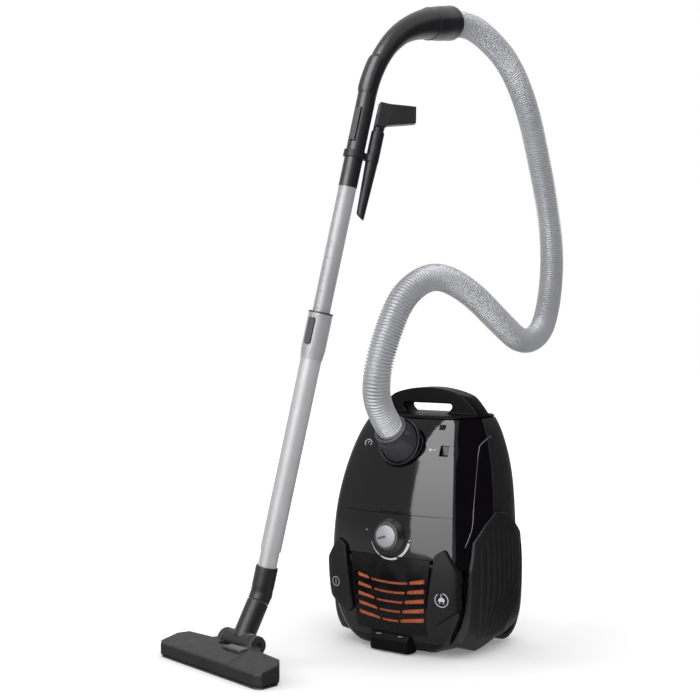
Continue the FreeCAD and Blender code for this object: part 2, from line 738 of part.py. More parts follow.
def circuit_board():
    """The board behind the knob, on its spacers, with the potentiometer that the knob turns."""
    plate = slab(-35, BOARD_Y, KNOB_Z - 22, 35, BOARD_Y + 1.6, KNOB_Z + 22)
    corners = [(x, z) for x in (-30, 30) for z in (KNOB_Z - 17, KNOB_Z + 17)]
    spacers = [rod(V(x, BOARD_Y, z), V(0, -1, 0), 3, 30) for x, z in corners]
    start = KNOB_SEAT - KNOB_AXIS * POT_START
    pot = rod(start, KNOB_AXIS * -1, POT_RADIUS, POT_LENGTH)
    bore = rod(start, KNOB_AXIS * -1, KNOB_SHAFT_RADIUS + RUNNING_CLEARANCE, POT_LENGTH - 1)
    return fused([plate, pot] + [spacer.common(INNER) for spacer in spacers]).cut(bore)


def pedal():
    """The right pedal: a plate bent round the front corner, with its guide stem behind."""
    plate = strip(BODY_STATIONS, -PEDAL_PROUD, BODY_STATIONS, 0.6, 8, 8 + 4.2, False)
    plate = plate.common(pedal_prism(0))
    front = surface_y(PEDAL_STEM_X, PEDAL_STEM_Z)
    stem = rod(V(PEDAL_STEM_X, front - 2, PEDAL_STEM_Z), Y_AXIS, PEDAL_STEM_RADIUS, STEM_END_Y - front + 2)
    return fused([plate, stem])


def stem_guide():
    """The sleeve in which a pedal's stem slides."""
    return rod(V(PEDAL_STEM_X, GUIDE_Y, PEDAL_STEM_Z), Y_AXIS, PEDAL_STEM_RADIUS + 3, GUIDE_LENGTH)


def stem_bore(length):
    return rod(V(PEDAL_STEM_X, GUIDE_Y, PEDAL_STEM_Z), Y_AXIS, PEDAL_STEM_RADIUS + RUNNING_CLEARANCE, length)


def power_switch():
    """The switch on its post, behind the left pedal."""
    end = GUIDE_Y + GUIDE_LENGTH
    post = slab(74, GUIDE_Y, FLOOR_Z, 80, end, PEDAL_STEM_Z + 8)
    arm = slab(74, GUIDE_Y, PEDAL_STEM_Z - 8, PEDAL_STEM_X, end, PEDAL_STEM_Z + 8)
    box = slab(PEDAL_STEM_X - 9, end, PEDAL_STEM_Z - 10, PEDAL_STEM_X + 9, end + 22, PEDAL_STEM_Z + 10)
    return mirrored(fused([post.common(INNER), arm, box, stem_guide()]).cut(stem_bore(GUIDE_LENGTH + 6)))


# Motor, filter, bag and reel.

def inner_deck():
    """The plate between the motor space and the bag space."""
    deck = body_form(WALL + SOFT_GAP).common(levels(DECK_Z, DECK_Z + DECK_THICKNESS))
    return deck.cut(rod(V(MOTOR_X, MOTOR_Y, DECK_Z), Z_AXIS, INTAKE_RADIUS, 20))


def motor_place(z):
    return V(MOTOR_X, MOTOR_Y, z)


def motor_housing():
    """The motor's can with its field ring, bearings and three legs."""
    height = MOTOR_TOP - MOTOR_BOTTOM
    can = tube(motor_place(MOTOR_BOTTOM), Z_AXIS, MOTOR_RADIUS, MOTOR_RADIUS - MOTOR_WALL, height)
    floor = rod(motor_place(MOTOR_BOTTOM), Z_AXIS, MOTOR_RADIUS, MOTOR_WALL)
    roof = tube(motor_place(MOTOR_TOP - MOTOR_WALL), Z_AXIS, MOTOR_RADIUS, INTAKE_RADIUS, MOTOR_WALL)
    field = tube(motor_place(MOTOR_BOTTOM + 24), Z_AXIS, MOTOR_RADIUS - 1, ROTOR_RADIUS + 1.5, 50)
    bosses = [rod(motor_place(MOTOR_BOTTOM), Z_AXIS, MOTOR_BOSS_RADIUS, 12)]
    bosses.append(rod(motor_place(MOTOR_TOP - 10), Z_AXIS, MOTOR_BOSS_RADIUS, 10))
    spider = [slab(-INTAKE_RADIUS - 2, -2.5, MOTOR_TOP - 8, INTAKE_RADIUS + 2, 2.5, MOTOR_TOP)]
    spider.append(slab(-2.5, -INTAKE_RADIUS - 2, MOTOR_TOP - 8, 2.5, INTAKE_RADIUS + 2, MOTOR_TOP))
    for bar in spider:
        bar.translate(motor_place(0))
    legs = []
    for angle in (90, 210, 330):
        turn = math.radians(angle)
        foot = motor_place(FLOOR_Z) + V(math.cos(turn), math.sin(turn), 0) * LEG_CIRCLE
        legs.append(rod(foot, Z_AXIS, 6, MOTOR_BOTTOM + 1 - foot.z))
    whole = fused([can, floor, roof, field] + bosses + spider + legs)
    bore = rod(motor_place(MOTOR_BOTTOM + 2), Z_AXIS, SHAFT_RADIUS + RUNNING_CLEARANCE, height - 4)
    return whole.cut(bore)


def motor_rotor():
    """Armature, commutator and impeller on one shaft."""
    low, high = MOTOR_BOTTOM + 2.5, MOTOR_TOP - 2.5
    shaft = rod(motor_place(low), Z_AXIS, SHAFT_RADIUS, high - low)
    commutator = rod(motor_place(MOTOR_BOTTOM + 14), Z_AXIS, 14, 8)
    armature = rod(motor_place(MOTOR_BOTTOM + 26), Z_AXIS, ROTOR_RADIUS, 46)
    backplate = rod(motor_place(MOTOR_TOP - 44), Z_AXIS, IMPELLER_RADIUS, 2.5)
    blades = []
    for index in range(9):
        blade = slab(8, -1, MOTOR_TOP - 43, IMPELLER_RADIUS - 1, 1, MOTOR_TOP - 22)
        blade.rotate(V(0, 0, 0), Z_AXIS, index * 40)
        blade.translate(motor_place(0))
        blades.append(blade)
    hub = rod(motor_place(MOTOR_TOP - 44), Z_AXIS, 10, 24)
    return fused([shaft, commutator, armature, backplate, hub] + blades)


def motor_seal():
    return tube(motor_place(MOTOR_TOP), Z_AXIS, INTAKE_RADIUS + 6, INTAKE_RADIUS + 1, DECK_Z - MOTOR_TOP)


def motor_filter():
    start = DECK_Z + DECK_THICKNESS
    return slab(MOTOR_X - 36, MOTOR_Y - 36, start, MOTOR_X + 36, MOTOR_Y + 36, start + 6)


def bag_block():
    """The dust bag's outer shape, with its front upper edge cut square to the inlet."""
    outline = [
        (BAG_FRONT, BAG_BOTTOM), (BAG_BACK, BAG_BOTTOM), (BAG_BACK, BAG_TOP - 16),
        (BAG_BACK - 15, BAG_TOP), (BAG_FRONT + 29, BAG_TOP), (BAG_FRONT, BAG_TOP - 34),
    ]
    block = prism(outline, "yz", -BAG_HALF_WIDTH, BAG_HALF_WIDTH)
    return block.makeFillet(6, block.Edges)


def holder_start():
    """Where the connector's axis passes the bag holder's front face."""
    return INLET - CONNECTOR_AXIS * HOLDER_REACH


def bag_holder():
    """The plate across the bag space that holds the bag's collar."""
    plate = slab(-150, -26, -HOLDER_THICKNESS, 150, 22, 0)
    plate.rotate(V(0, 0, 0), X_AXIS, 90 - CONNECTOR_RISE)
    plate.translate(holder_start())
    plate = plate.common(body_form(WALL + SOFT_GAP))
    return plate.cut(rod(holder_start() - CONNECTOR_AXIS * 20, CONNECTOR_AXIS, SPIGOT_RADIUS + FIT_GAP, 40))


def dust_bag():
    return bag_block().cut(rod(holder_start() - CONNECTOR_AXIS * 20, CONNECTOR_AXIS, SPIGOT_RADIUS + 0.5, 40))


def reel_place(x):
    return V(x, REEL_Y, REEL_Z)


def cord_drum():
    """The bare cord reel: a hub between two flanges."""
    low = REEL_X - REEL_WIDTH / 2
    parts = [rod(reel_place(low), X_AXIS, REEL_HUB, REEL_WIDTH)]
    parts.append(rod(reel_place(low), X_AXIS, REEL_RADIUS, 2.5))
    parts.append(rod(reel_place(low + REEL_WIDTH - 2.5), X_AXIS, REEL_RADIUS, 2.5))
    drum = fused(parts).cut(rod(reel_place(low + 4), X_AXIS, REEL_HUB - 3, REEL_WIDTH - 8))
    return drum.cut(rod(reel_place(low), X_AXIS, AXLE_RADIUS + RUNNING_CLEARANCE, REEL_WIDTH))


def reel_frame():
    """Two plates with the reel's axle, and the arm that guides the right pedal's stem."""
    low = REEL_X - REEL_WIDTH / 2 - 0.5
    high = REEL_X + REEL_WIDTH / 2 + 0.5
    end = GUIDE_Y + GUIDE_LENGTH
    parts = [slab(low - 3, REEL_Y - 16, FLOOR_Z, low, REEL_Y + 16, REEL_Z + 12)]
    parts.append(slab(high, REEL_Y - 16, FLOOR_Z, high + 3, REEL_Y + 16, REEL_Z + 12))
    parts.append(rod(reel_place(low - 3), X_AXIS, AXLE_RADIUS, high - low + 6))
    parts.append(slab(high, GUIDE_Y, PEDAL_STEM_Z - 8, high + 3, REEL_Y, PEDAL_STEM_Z + 8))
    parts.append(slab(high, GUIDE_Y, PEDAL_STEM_Z - 8, PEDAL_STEM_X, end, PEDAL_STEM_Z + 8))
    return fused(parts + [stem_guide()]).cut(stem_bore(GUIDE_LENGTH))


# Wheels, castor, feet and small fixed pieces.

def wheel():
    tyre = rod(V(WHEEL_X, WHEEL_Y, WHEEL_Z), X_AXIS, WHEEL_RADIUS, WHEEL_WIDTH)
    rim = [edge for edge in tyre.Edges if edge.BoundBox.XLength < 0.1]
    tyre = tyre.makeFillet(3, rim)
    dish = rod(V(WHEEL_X + WHEEL_WIDTH - 4, WHEEL_Y, WHEEL_Z), X_AXIS, WHEEL_RADIUS - 10, 5)
    hub = rod(V(WHEEL_X + WHEEL_WIDTH - 5, WHEEL_Y, WHEEL_Z), X_AXIS, 13, 5)
    bore = rod(V(WHEEL_X, WHEEL_Y, WHEEL_Z), X_AXIS, AXLE_RADIUS + RUNNING_CLEARANCE, 40)
    return fused([tyre.cut(dish), hub]).cut(bore)


def wheel_axles():
    """The two stub axles, headed inside the wheel housings and outside the wheels."""
    right = fused([
        along_x(WHEEL_Y, WHEEL_Z, WELL_X - WALL - 3, WHEEL_X + WHEEL_WIDTH + 3, AXLE_RADIUS),
        along_x(WHEEL_Y, WHEEL_Z, WELL_X - WALL - 3, WELL_X - WALL, AXLE_RADIUS + 5),
        along_x(WHEEL_Y, WHEEL_Z, WHEEL_X + WHEEL_WIDTH + 0.4, WHEEL_X + WHEEL_WIDTH + 3, AXLE_RADIUS + 4),
    ])
    return Part.makeCompound([right, mirrored(right)])


def wheel_cover():
    """The fluted cover's shell over the right wheel, open to the body and at the back."""
    body = [COVER_BODY_LOW] + [station for station in BODY_STATIONS if station[0] <= COVER_STATIONS[-1][0]]
    block = strip(COVER_STATIONS, 0, body, WALL, 1.4, 6.6, True)
    hollow = strip(COVER_STATIONS, WALL, body, 4 * WALL, 1.2, 6.8, True)
    outline = prism(WHEEL_COVER_OUTLINE, "yz", 60, 220)
    inside = prism(grown(WHEEL_COVER_OUTLINE, -WALL * 1.4), "yz", 60, 220)
    cover = block.common(round_upright(outline, 5, X_AXIS))
    cover = cover.cut(hollow.common(inside))
    cover = cover.cut(along_x(WHEEL_Y, WHEEL_Z, 100, WHEEL_X + WHEEL_WIDTH + 4, WELL_RADIUS))
    return largest(cover.cut(body_form(-SOFT_GAP)))


def castor_fork():
    """The castor's stem, crown and two arms, which swivel about Y."""
    start = V(0, CASTOR_FLOOR_Y, CASTOR_Z)
    axle_z = CASTOR_Z - CASTOR_TRAIL
    parts = [rod(start - Y_AXIS * 3, Y_AXIS, CASTOR_PIN, WALL + 4)]
    parts.append(rod(start - Y_AXIS * 6, Y_AXIS, CASTOR_PIN + 3, 5.7))
    parts.append(rod(start + Y_AXIS * (WALL + 0.4), Y_AXIS, 13, 4))
    arm_start = CASTOR_FLOOR_Y + WALL + 3
    for low in (-CASTOR_WIDTH / 2 - 3.4, CASTOR_WIDTH / 2 + 0.4):
        parts.append(slab(low, arm_start, axle_z - 6, low + 3, CASTOR_AXLE_Y + 5, axle_z + 14))
    parts.append(rod(V(-CASTOR_WIDTH / 2 - 3, CASTOR_AXLE_Y, axle_z), X_AXIS, 2.5, CASTOR_WIDTH + 6))
    return fused(parts)


def castor_wheel():
    place = V(-CASTOR_WIDTH / 2, CASTOR_AXLE_Y, CASTOR_Z - CASTOR_TRAIL)
    disc = rod(place, X_AXIS, CASTOR_RADIUS, CASTOR_WIDTH)
    disc = disc.makeFillet(1.5, [edge for edge in disc.Edges if edge.BoundBox.XLength < 0.1])
    return disc.cut(rod(place, X_AXIS, 2.5 + RUNNING_CLEARANCE, CASTOR_WIDTH))


def foot_plugs(length):
    """The four plugs that hold the rubber foot in the base, or the holes for them."""
    middle = FOOT_WIDTH / 2
    plugs = []
    for x in (middle - FOOT_HALF, FOOT_HALF - middle):
        for y in (FOOT_FRONT + middle, FOOT_BACK - middle):
            plugs.append(rod(V(x, y, BODY_BOTTOM - 1), Z_AXIS, FOOT_PLUG_RADIUS, length))
    return plugs


def foot_block(inset):
    edge = FOOT_HALF - inset
    return round_upright(slab(-edge, FOOT_FRONT + inset, 0, edge, FOOT_BACK - inset, BODY_BOTTOM), 12, Z_AXIS)


def rubber_foot():
    """The rubber ring that the parked canister stands on."""
    return fused([foot_block(0).cut(foot_block(FOOT_WIDTH))] + foot_plugs(1 + WALL))


def housing_screws():
    """The screws in the rear shell's four wells, with their bosses' heads."""
    screws = []
    for x, z in SCREW_PLACES:
        line = Part.makeLine(V(x, 60, z), V(x, 160, z)).common(OUTER)
        back = line.BoundBox.YMax
        head = rod(V(x, back - 5, z), Y_AXIS, SCREW_RADIUS, 4)
        screws.append(head.fuse(rod(V(x, back - 22, z), Y_AXIS, SCREW_RADIUS / 2, 18)).removeSplitter())
    return Part.makeCompound(screws)


def cord_outlet():
    """The round grommet where the mains cord leaves the back."""
    line = Part.makeLine(V(OUTLET_X, 60, OUTLET_Z), V(OUTLET_X, 160, OUTLET_Z)).common(OUTER)
    back = line.BoundBox.YMax
    flange = rod(V(OUTLET_X, back - 3, OUTLET_Z), Y_AXIS, OUTLET_RADIUS + 3, 5).cut(OUTER)
    ring = fused([rod(V(OUTLET_X, back - 8, OUTLET_Z), Y_AXIS, OUTLET_RADIUS, 9), flange])
    return ring.cut(rod(V(OUTLET_X, back - 10, OUTLET_Z), Y_AXIS, 4, 20))


def hose_connector():
    """The elbow in the inlet: a base disc, a slanted neck with the hose's seat, and the spigot."""
    low_point = INLET - INLET_NORMAL * CONNECTOR_BASE_DEPTH
    base = rod(low_point, INLET_NORMAL, CONNECTOR_BASE_RADIUS, CONNECTOR_BASE_DEPTH)
    low = Part.Wire([Part.makeCircle(CONNECTOR_BASE_RADIUS - 1, INLET, INLET_NORMAL)])
    mouth_start = CONNECTOR_MOUTH - CONNECTOR_AXIS * 14
    high = Part.Wire([Part.makeCircle(CONNECTOR_NECK_RADIUS + 0.5, mouth_start, CONNECTOR_AXIS)])
    neck = Part.makeLoft([low, high], True, True)
    collar = rod(mouth_start, CONNECTOR_AXIS, CONNECTOR_NECK_RADIUS, 14)
    spigot_end = holder_start() - CONNECTOR_AXIS * (HOLDER_THICKNESS + 4)
    spigot = rod(spigot_end, CONNECTOR_AXIS, SPIGOT_RADIUS, (INLET - spigot_end).Length)
    whole = fused([base, neck, collar, spigot])
    whole = whole.cut(rod(spigot_end - CONNECTOR_AXIS, CONNECTOR_AXIS, HOSE_BORE_RADIUS, 200))
    seat = rod(CONNECTOR_MOUTH - CONNECTOR_AXIS * HOSE_SEAT, CONNECTOR_AXIS, HOSE_RADIUS + FIT_GAP, 60)
    return whole.cut(seat).cut(button_form(RUNNING_CLEARANCE, BUTTON_FLOOR, BUTTON_FLOOR + 20))


def button_form(gap, start, end):
    """The round release button in the connector's right side, or the hole for it."""
    middle = CONNECTOR_MOUTH - CONNECTOR_AXIS * BUTTON_SETBACK
    return along_x(middle.y, middle.z, start, end, BUTTON_RADIUS + gap)


def connector_button():
    return button_form(0, BUTTON_FLOOR + BUTTON_TRAVEL + SOFT_GAP, CONNECTOR_NECK_RADIUS + BUTTON_PROUD)


# Wand: drawn with its axis along Z and its foot at the origin, then placed.

WAND_Y = (Y_AXIS - WAND_DIRECTION * WAND_DIRECTION.dot(Y_AXIS)).normalize()
WAND_X = WAND_Y.cross(WAND_DIRECTION)
WAND_PLACE = FreeCAD.Placement(WAND_FOOT, FreeCAD.Rotation(WAND_X, WAND_Y, WAND_DIRECTION, "ZXY"))


def on_wand(shape):
    placed = shape.copy()
    placed.Placement = WAND_PLACE.multiply(placed.Placement)
    return placed


def wand_point(x, y, s):
    return WAND_PLACE.multVec(V(x, y, s))


def wand_slab(x0, y0, s0, x1, y1, s1):
    return Part.makeBox(x1 - x0, y1 - y0, s1 - s0, V(x0, y0, s0))


def upright(radius, s0, s1):
    return Part.makeCylinder(radius, s1 - s0, V(0, 0, s0))


def lower_tube():
    """The wider tube, with its neck pressed into the nozzle's socket."""
    outer = fused([
        upright(NECK_RADIUS, -SOCKET_DEPTH, NECK_LENGTH),
        upright(LOWER_TUBE_RADIUS, NECK_LENGTH, LOWER_TUBE_END),
    ])
    inner = fused([
        upright(NECK_RADIUS - TUBE_WALL, -SOCKET_DEPTH - 1, NECK_LENGTH + TUBE_WALL),
        upright(LOWER_TUBE_RADIUS - TUBE_WALL, NECK_LENGTH + TUBE_WALL, LOWER_TUBE_END + 1),
    ])
    return on_wand(outer.cut(inner))


def lock_button_form(gap, depth):
    """The arched lock button on the sleeve's front, or the pocket for it."""
    half = 6 + gap
    low = LOCK_BUTTON_TOP - LOCK_BUTTON_LENGTH - gap
    block = wand_slab(-half, -LOCK_RADIUS - 2, low, half, -LOCK_RADIUS + depth, LOCK_BUTTON_TOP + gap)
    return block.fuse(Part.makeCylinder(half, depth + 2, V(0, -LOCK_RADIUS - 2, low), Y_AXIS))


def lock_sleeve():
    """The sleeve on the lower tube's end through which the upper tube slides."""
    start = LOWER_TUBE_END - 7
    outer = fused([
        Part.makeCone(LOWER_TUBE_RADIUS + 0.8, LOCK_RADIUS, 17, V(0, 0, start)),
        upright(LOCK_RADIUS, start + 17, LOCK_TOP),
    ])
    sleeve = outer.cut(upright(UPPER_TUBE_RADIUS + SLIDE_CLEARANCE, start - 1, LOCK_TOP + 1))
    sleeve = sleeve.cut(upright(LOWER_TUBE_RADIUS, start - 1, LOWER_TUBE_END))
    sleeve = sleeve.cut(upright(LOWER_TUBE_RADIUS - 1, LOWER_TUBE_END - 1, LOWER_TUBE_END + 3))
    ring = wand_ring(LOCK_TOP - 8, 1.4)
    return on_wand(sleeve.cut(ring).cut(lock_button_form(0.3, 3.6)))


def wand_ring(s, width):
    return upright(LOCK_RADIUS + 2, s, s + width).cut(upright(LOCK_RADIUS - 0.6, s, s + width))


def lock_button():
    return on_wand(lock_button_form(0, 1.4).cut(upright(LOCK_RADIUS - 3.4, LOWER_TUBE_END, LOCK_TOP)))


def upper_tube():
    """The narrower tube with its row of lock notches and a swaged end in the handle."""
    outer = fused([
        upright(UPPER_TUBE_RADIUS, UPPER_TUBE_BOTTOM, HANDLE_BOTTOM),
        upright(SWAGE_RADIUS, HANDLE_BOTTOM, HANDLE_BOTTOM + SWAGE_LENGTH),
    ])
    inner = upright(SWAGE_RADIUS - TUBE_WALL, UPPER_TUBE_BOTTOM - 1, HANDLE_BOTTOM + SWAGE_LENGTH + 1)
    tube_shape = outer.cut(inner)
    for index in range(NOTCH_COUNT):
        s = NOTCH_START + index * NOTCH_PITCH
        notch = wand_slab(-3.4, -UPPER_TUBE_RADIUS - 2, s, 3.4, -UPPER_TUBE_RADIUS + 0.9, s + 3)
        tube_shape = tube_shape.cut(notch)
    return on_wand(tube_shape)


def guide_bushes():
    """Two rings near the upper tube's lower end that run in the lower tube."""
    rings = []
    for s in (UPPER_TUBE_BOTTOM + 4, UPPER_TUBE_BOTTOM + 60):
        ring = upright(LOWER_TUBE_RADIUS - TUBE_WALL - SLIDE_CLEARANCE, s, s + 16)
        rings.append(on_wand(ring.cut(upright(UPPER_TUBE_RADIUS, s - 1, s + 17))))
    return Part.makeCompound(rings)


def grip_point(distance):
    """A place on the handle's middle line past the start of its bend, and the direction there."""
    first = BEND_RADIUS * math.radians(BEND_ANGLE)
    second = SECOND_BEND_RADIUS * math.radians(SECOND_BEND_ANGLE)
    angle = min(distance, first) / BEND_RADIUS
    y = BEND_RADIUS * (1 - math.cos(angle))
    z = BEND_START + BEND_RADIUS * math.sin(angle)
    if distance > first:
        turned = angle + min(distance - first, second) / SECOND_BEND_RADIUS
        y += SECOND_BEND_RADIUS * (math.cos(angle) - math.cos(turned))
        z += SECOND_BEND_RADIUS * (math.sin(turned) - math.sin(angle))
        angle = turned
    rest = max(0, distance - first - second)
    direction = V(0, math.sin(angle), math.cos(angle))
    return V(0, y, z) + direction * rest, direction


FIRST_ARC = BEND_RADIUS * math.radians(BEND_ANGLE)
SECOND_ARC = SECOND_BEND_RADIUS * math.radians(SECOND_BEND_ANGLE)
GRIP_LENGTH = FIRST_ARC + SECOND_ARC + CUFF_RUN


def grip_radius(distance):
    return between([(d, r) for d, r in GRIP_RADII], distance)[0]


def grip_circle(distance, radius):
    place, direction = grip_point(distance)
    circle = Part.Circle(place, direction, radius)
    circle.XAxis = X_AXIS
    return Part.Wire([circle.toShape()])


def handle():
    """The hollow curved handle, from the tube's socket to the hose's seat."""
    steps = [GRIP_LENGTH * index / 22 for index in range(23)]
    bore = [min(grip_radius(d) - HANDLE_WALL, HOSE_BORE_RADIUS) for d in steps]
    outer = Part.makeLoft([grip_circle(d, grip_radius(d)) for d in steps], True, False)
    inner = Part.makeLoft([grip_circle(d, r) for d, r in zip(steps, bore)], True, False)
    outer = fused([upright(HANDLE_RADIUS, HANDLE_BOTTOM + SOFT_GAP, BEND_START), outer])
    mouth, direction = grip_point(GRIP_LENGTH)
    shell = outer.cut(upright(SWAGE_RADIUS, HANDLE_BOTTOM - 1, BEND_START)).cut(inner)
    shell = shell.cut(rod(mouth - direction * HOSE_SEAT, direction, HOSE_RADIUS + FIT_GAP, HOSE_SEAT + 1))
    shell = shell.cut(release_form(0.3, 4)).cut(slider_form(0.3, SLIDER_TRAVEL))
    return on_wand(shell)


def release_form(gap, depth):
    """The release button low on the handle's front, or the hole for it."""
    low, high = RELEASE_START - gap, RELEASE_START + RELEASE_LENGTH + gap
    return wand_slab(-6 - gap, -HANDLE_RADIUS - 1.4, low, 6 + gap, -HANDLE_RADIUS + depth, high)


def release_button():
    return on_wand(release_form(0, 2))


def slider_form(gap, travel=0):
    """The air slider over the outer side of the bend, or its track, longer by its travel in degrees."""
    turned = []
    for radius in (-2.2 - gap, 3.0 + gap):
        angle0 = math.radians(SLIDER_START) - gap / BEND_RADIUS
        angle1 = math.radians(SLIDER_END + travel) + gap / BEND_RADIUS
        reach = BEND_RADIUS + HANDLE_RADIUS + radius
        turned.append([V(0, BEND_RADIUS - reach * math.cos(a), BEND_START + reach * math.sin(a))
                       for a in (angle0, (angle0 + angle1) / 2, angle1)])
    low, high = turned
    outline = Part.Wire([
        Part.Arc(*low).toShape(), Part.makeLine(low[2], high[2]),
        Part.Arc(*reversed(high)).toShape(), Part.makeLine(high[0], low[0]),
    ])
    block = Part.Face(outline).extrude(V(12 + 2 * gap, 0, 0))
    block.translate(V(-6 - gap, 0, 0))
    return block


def air_slider():
    return on_wand(slider_form(0))


TOOL_TURN = math.radians(TOOL_SIDE_ANGLE)
TOOL_X = -TOOL_OFFSET * math.sin(TOOL_TURN)
TOOL_Y = TOOL_OFFSET * math.cos(TOOL_TURN)


def tool_circle(x, s, radius):
    return Part.Wire([Part.makeCircle(radius, V(TOOL_X + x, TOOL_Y, s), Z_AXIS)])


def accessory_tool():
    """The crevice tool with a small upholstery head, clipped beside the handle."""
    out = V(TOOL_X, TOOL_Y, 0).normalize()
    place = V(TOOL_X, TOOL_Y, 0)
    sleeve_s, neck_s = TOOL_BOTTOM + 103, TOOL_BOTTOM + 155
    parts = [Part.makeCone(TOOL_TIP_RADIUS, TOOL_RADIUS - 0.5, 103, place + V(0, 0, TOOL_BOTTOM))]
    parts.append(rod(place + V(0, 0, sleeve_s), Z_AXIS, TOOL_RADIUS, 52))
    parts.append(rod(place + V(0, 0, neck_s), Z_AXIS, TOOL_RADIUS - 2, 30))
    head_start = place + out * -8 + V(0, 0, TOOL_TOP - 41)
    side = Z_AXIS.cross(out)
    half = side * 13
    far = head_start + out * 68
    corners = [head_start - half, far - half, far + half, head_start + half, head_start - half]
    head = Part.Face(Part.makePolygon(corners)).extrude(V(0, 0, 41))
    head = head.common(rod(place + out * 26 + V(0, 0, TOOL_TOP - 60), Z_AXIS, 36, 120))
    whole = fused(parts + [head])
    bore = fused([
        Part.makeCone(TOOL_TIP_RADIUS - 2, TOOL_RADIUS - 3, 103, place + V(0, 0, TOOL_BOTTOM)),
        rod(place + V(0, 0, sleeve_s - 1), Z_AXIS, TOOL_RADIUS - 4, 80),
    ])
    tip = slab(-200, -200, -30, 200, 200, 0)
    tip.rotate(V(0, 0, 0), side, 35)
    tip.translate(place + V(0, 0, TOOL_BOTTOM + 8))
    return on_wand(whole.cut(bore).cut(tip))


def tool_clip():
    """The clip on the handle that holds the tool's sleeve."""
    out = V(TOOL_X, TOOL_Y, 0).normalize()
    side = Z_AXIS.cross(out)
    ring = upright(HANDLE_RADIUS + 3, CLIP_START, CLIP_START + CLIP_HEIGHT)
    ring = ring.cut(upright(HANDLE_RADIUS, 0, 900))
    claw = rod(V(TOOL_X, TOOL_Y, CLIP_START), Z_AXIS, TOOL_RADIUS + SOFT_GAP + 2.2, CLIP_HEIGHT)
    claw = claw.cut(rod(V(TOOL_X, TOOL_Y, 0), Z_AXIS, TOOL_RADIUS + SOFT_GAP, 900))
    mouth = V(TOOL_X, TOOL_Y, CLIP_START - 1) + out * (TOOL_RADIUS * 0.2)
    half = side * 40
    far = mouth + out * 40
    corners = [mouth - half, mouth + half, far + half, far - half, mouth - half]
    opening = Part.Face(Part.makePolygon(corners)).extrude(V(0, 0, CLIP_HEIGHT + 2))
    return on_wand(fused([ring, claw.cut(opening).cut(upright(HANDLE_RADIUS, 0, 900))]))


# Hose: runs joined by tangent arcs, with ribs along its whole length.

CUFF_MOUTH = wand_point(*grip_point(GRIP_LENGTH)[0])
CUFF_DIRECTION = wand_point(*(grip_point(GRIP_LENGTH)[0] + grip_point(GRIP_LENGTH)[1])) - CUFF_MOUTH
HOSE_START = CONNECTOR_MOUTH - CONNECTOR_AXIS * (HOSE_SEAT - FIT_GAP)
HOSE_END = CUFF_MOUTH - CUFF_DIRECTION * (HOSE_SEAT - FIT_GAP)
HOSE_ROUTE = [HOSE_START, CONNECTOR_MOUTH + CONNECTOR_AXIS * CONNECTOR_LEAD]
HOSE_ROUTE += [V(*point) for point in HOSE_MIDDLE]
HOSE_ROUTE += [CUFF_MOUTH + CUFF_DIRECTION * CUFF_LEAD, HOSE_END]


def route_pieces(points):
    """The route's straight runs and tangent arcs, each as its start, direction, length, radius and axis."""
    pieces = []
    here = points[0]
    for before, corner, after in zip(points, points[1:], points[2:]):
        first = corner - before
        second = after - corner
        d0 = V(first).normalize()
        d1 = V(second).normalize()
        turn = d0.getAngle(d1)
        tangent = 0.45 * min(first.Length, second.Length)
        radius = tangent / math.tan(turn / 2)
        arc_start = corner - d0 * tangent
        pieces.append((here, d0, (arc_start - here).Length, 0, None))
        pieces.append((arc_start, d0, radius * turn, radius, d0.cross(d1).normalize()))
        here = corner + d1 * tangent
    last = points[-1] - here
    pieces.append((here, V(last).normalize(), last.Length, 0, None))
    return pieces


HOSE_PIECES = route_pieces(HOSE_ROUTE)
HOSE_LENGTH = sum(piece[2] for piece in HOSE_PIECES)


def hose_point(distance):
    """The place and direction at a distance along the hose."""
    for start, direction, length, radius, axis in HOSE_PIECES:
        if distance <= length or start is HOSE_PIECES[-1][0]:
            break
        distance -= length
    if not radius:
        return start + direction * distance, direction
    inward = axis.cross(direction)
    angle = distance / radius
    place = start + direction * (radius * math.sin(angle)) + inward * (radius * (1 - math.cos(angle)))
    return place, direction * math.cos(angle) + inward * math.sin(angle)


def hose_circle(distance, radius):
    place, direction = hose_point(distance)
    circle = Part.Circle(place, direction, radius)
    circle.XAxis = (X_AXIS - direction * direction.dot(X_AXIS)).normalize()
    return Part.Wire([circle.toShape()])


def hose_faces(rings):
    """Ruled faces through rings given as distance and radius, lofted a short span at a time."""
    faces = []
    for first in range(0, len(rings) - 1, HOSE_SPAN):
        span = rings[first:first + HOSE_SPAN + 1]
        faces += Part.makeLoft([hose_circle(d, r) for d, r in span], False, True).Faces
    return faces


def hose():
    """The ribbed hose with its bore, straight for one diameter at each end."""
    plain = 2 * HOSE_RADIUS
    pitch = (HOSE_LENGTH - 2 * plain) / HOSE_RIBS
    outer = [(0, HOSE_RADIUS), (plain, HOSE_RADIUS)]
    bore = [(0, HOSE_BORE_RADIUS), (plain, HOSE_BORE_RADIUS)]
    for index in range(HOSE_RIBS):
        start = plain + index * pitch
        outer.append((start + 0.18 * pitch, HOSE_ROOT_RADIUS))
        outer.append((start + 0.42 * pitch, HOSE_ROOT_RADIUS))
        outer.append((start + 0.62 * pitch, HOSE_RADIUS))
        outer.append((start + 0.98 * pitch, HOSE_RADIUS))
        bore.append((start + pitch, HOSE_BORE_RADIUS))
    outer += [(HOSE_LENGTH - 0.96 * plain, HOSE_RADIUS), (HOSE_LENGTH, HOSE_RADIUS)]
    bore.append((HOSE_LENGTH, HOSE_BORE_RADIUS))
    faces = hose_faces(outer) + hose_faces(bore)
    for d in (0, HOSE_LENGTH):
        rings = [hose_circle(d, HOSE_RADIUS), hose_circle(d, HOSE_BORE_RADIUS)]
        faces.append(Part.makeFace(rings, "Part::FaceMakerBullseye"))
    skin = Part.makeCompound(faces)
    skin.sewShape()
    return Part.Solid(skin.Shells[0])


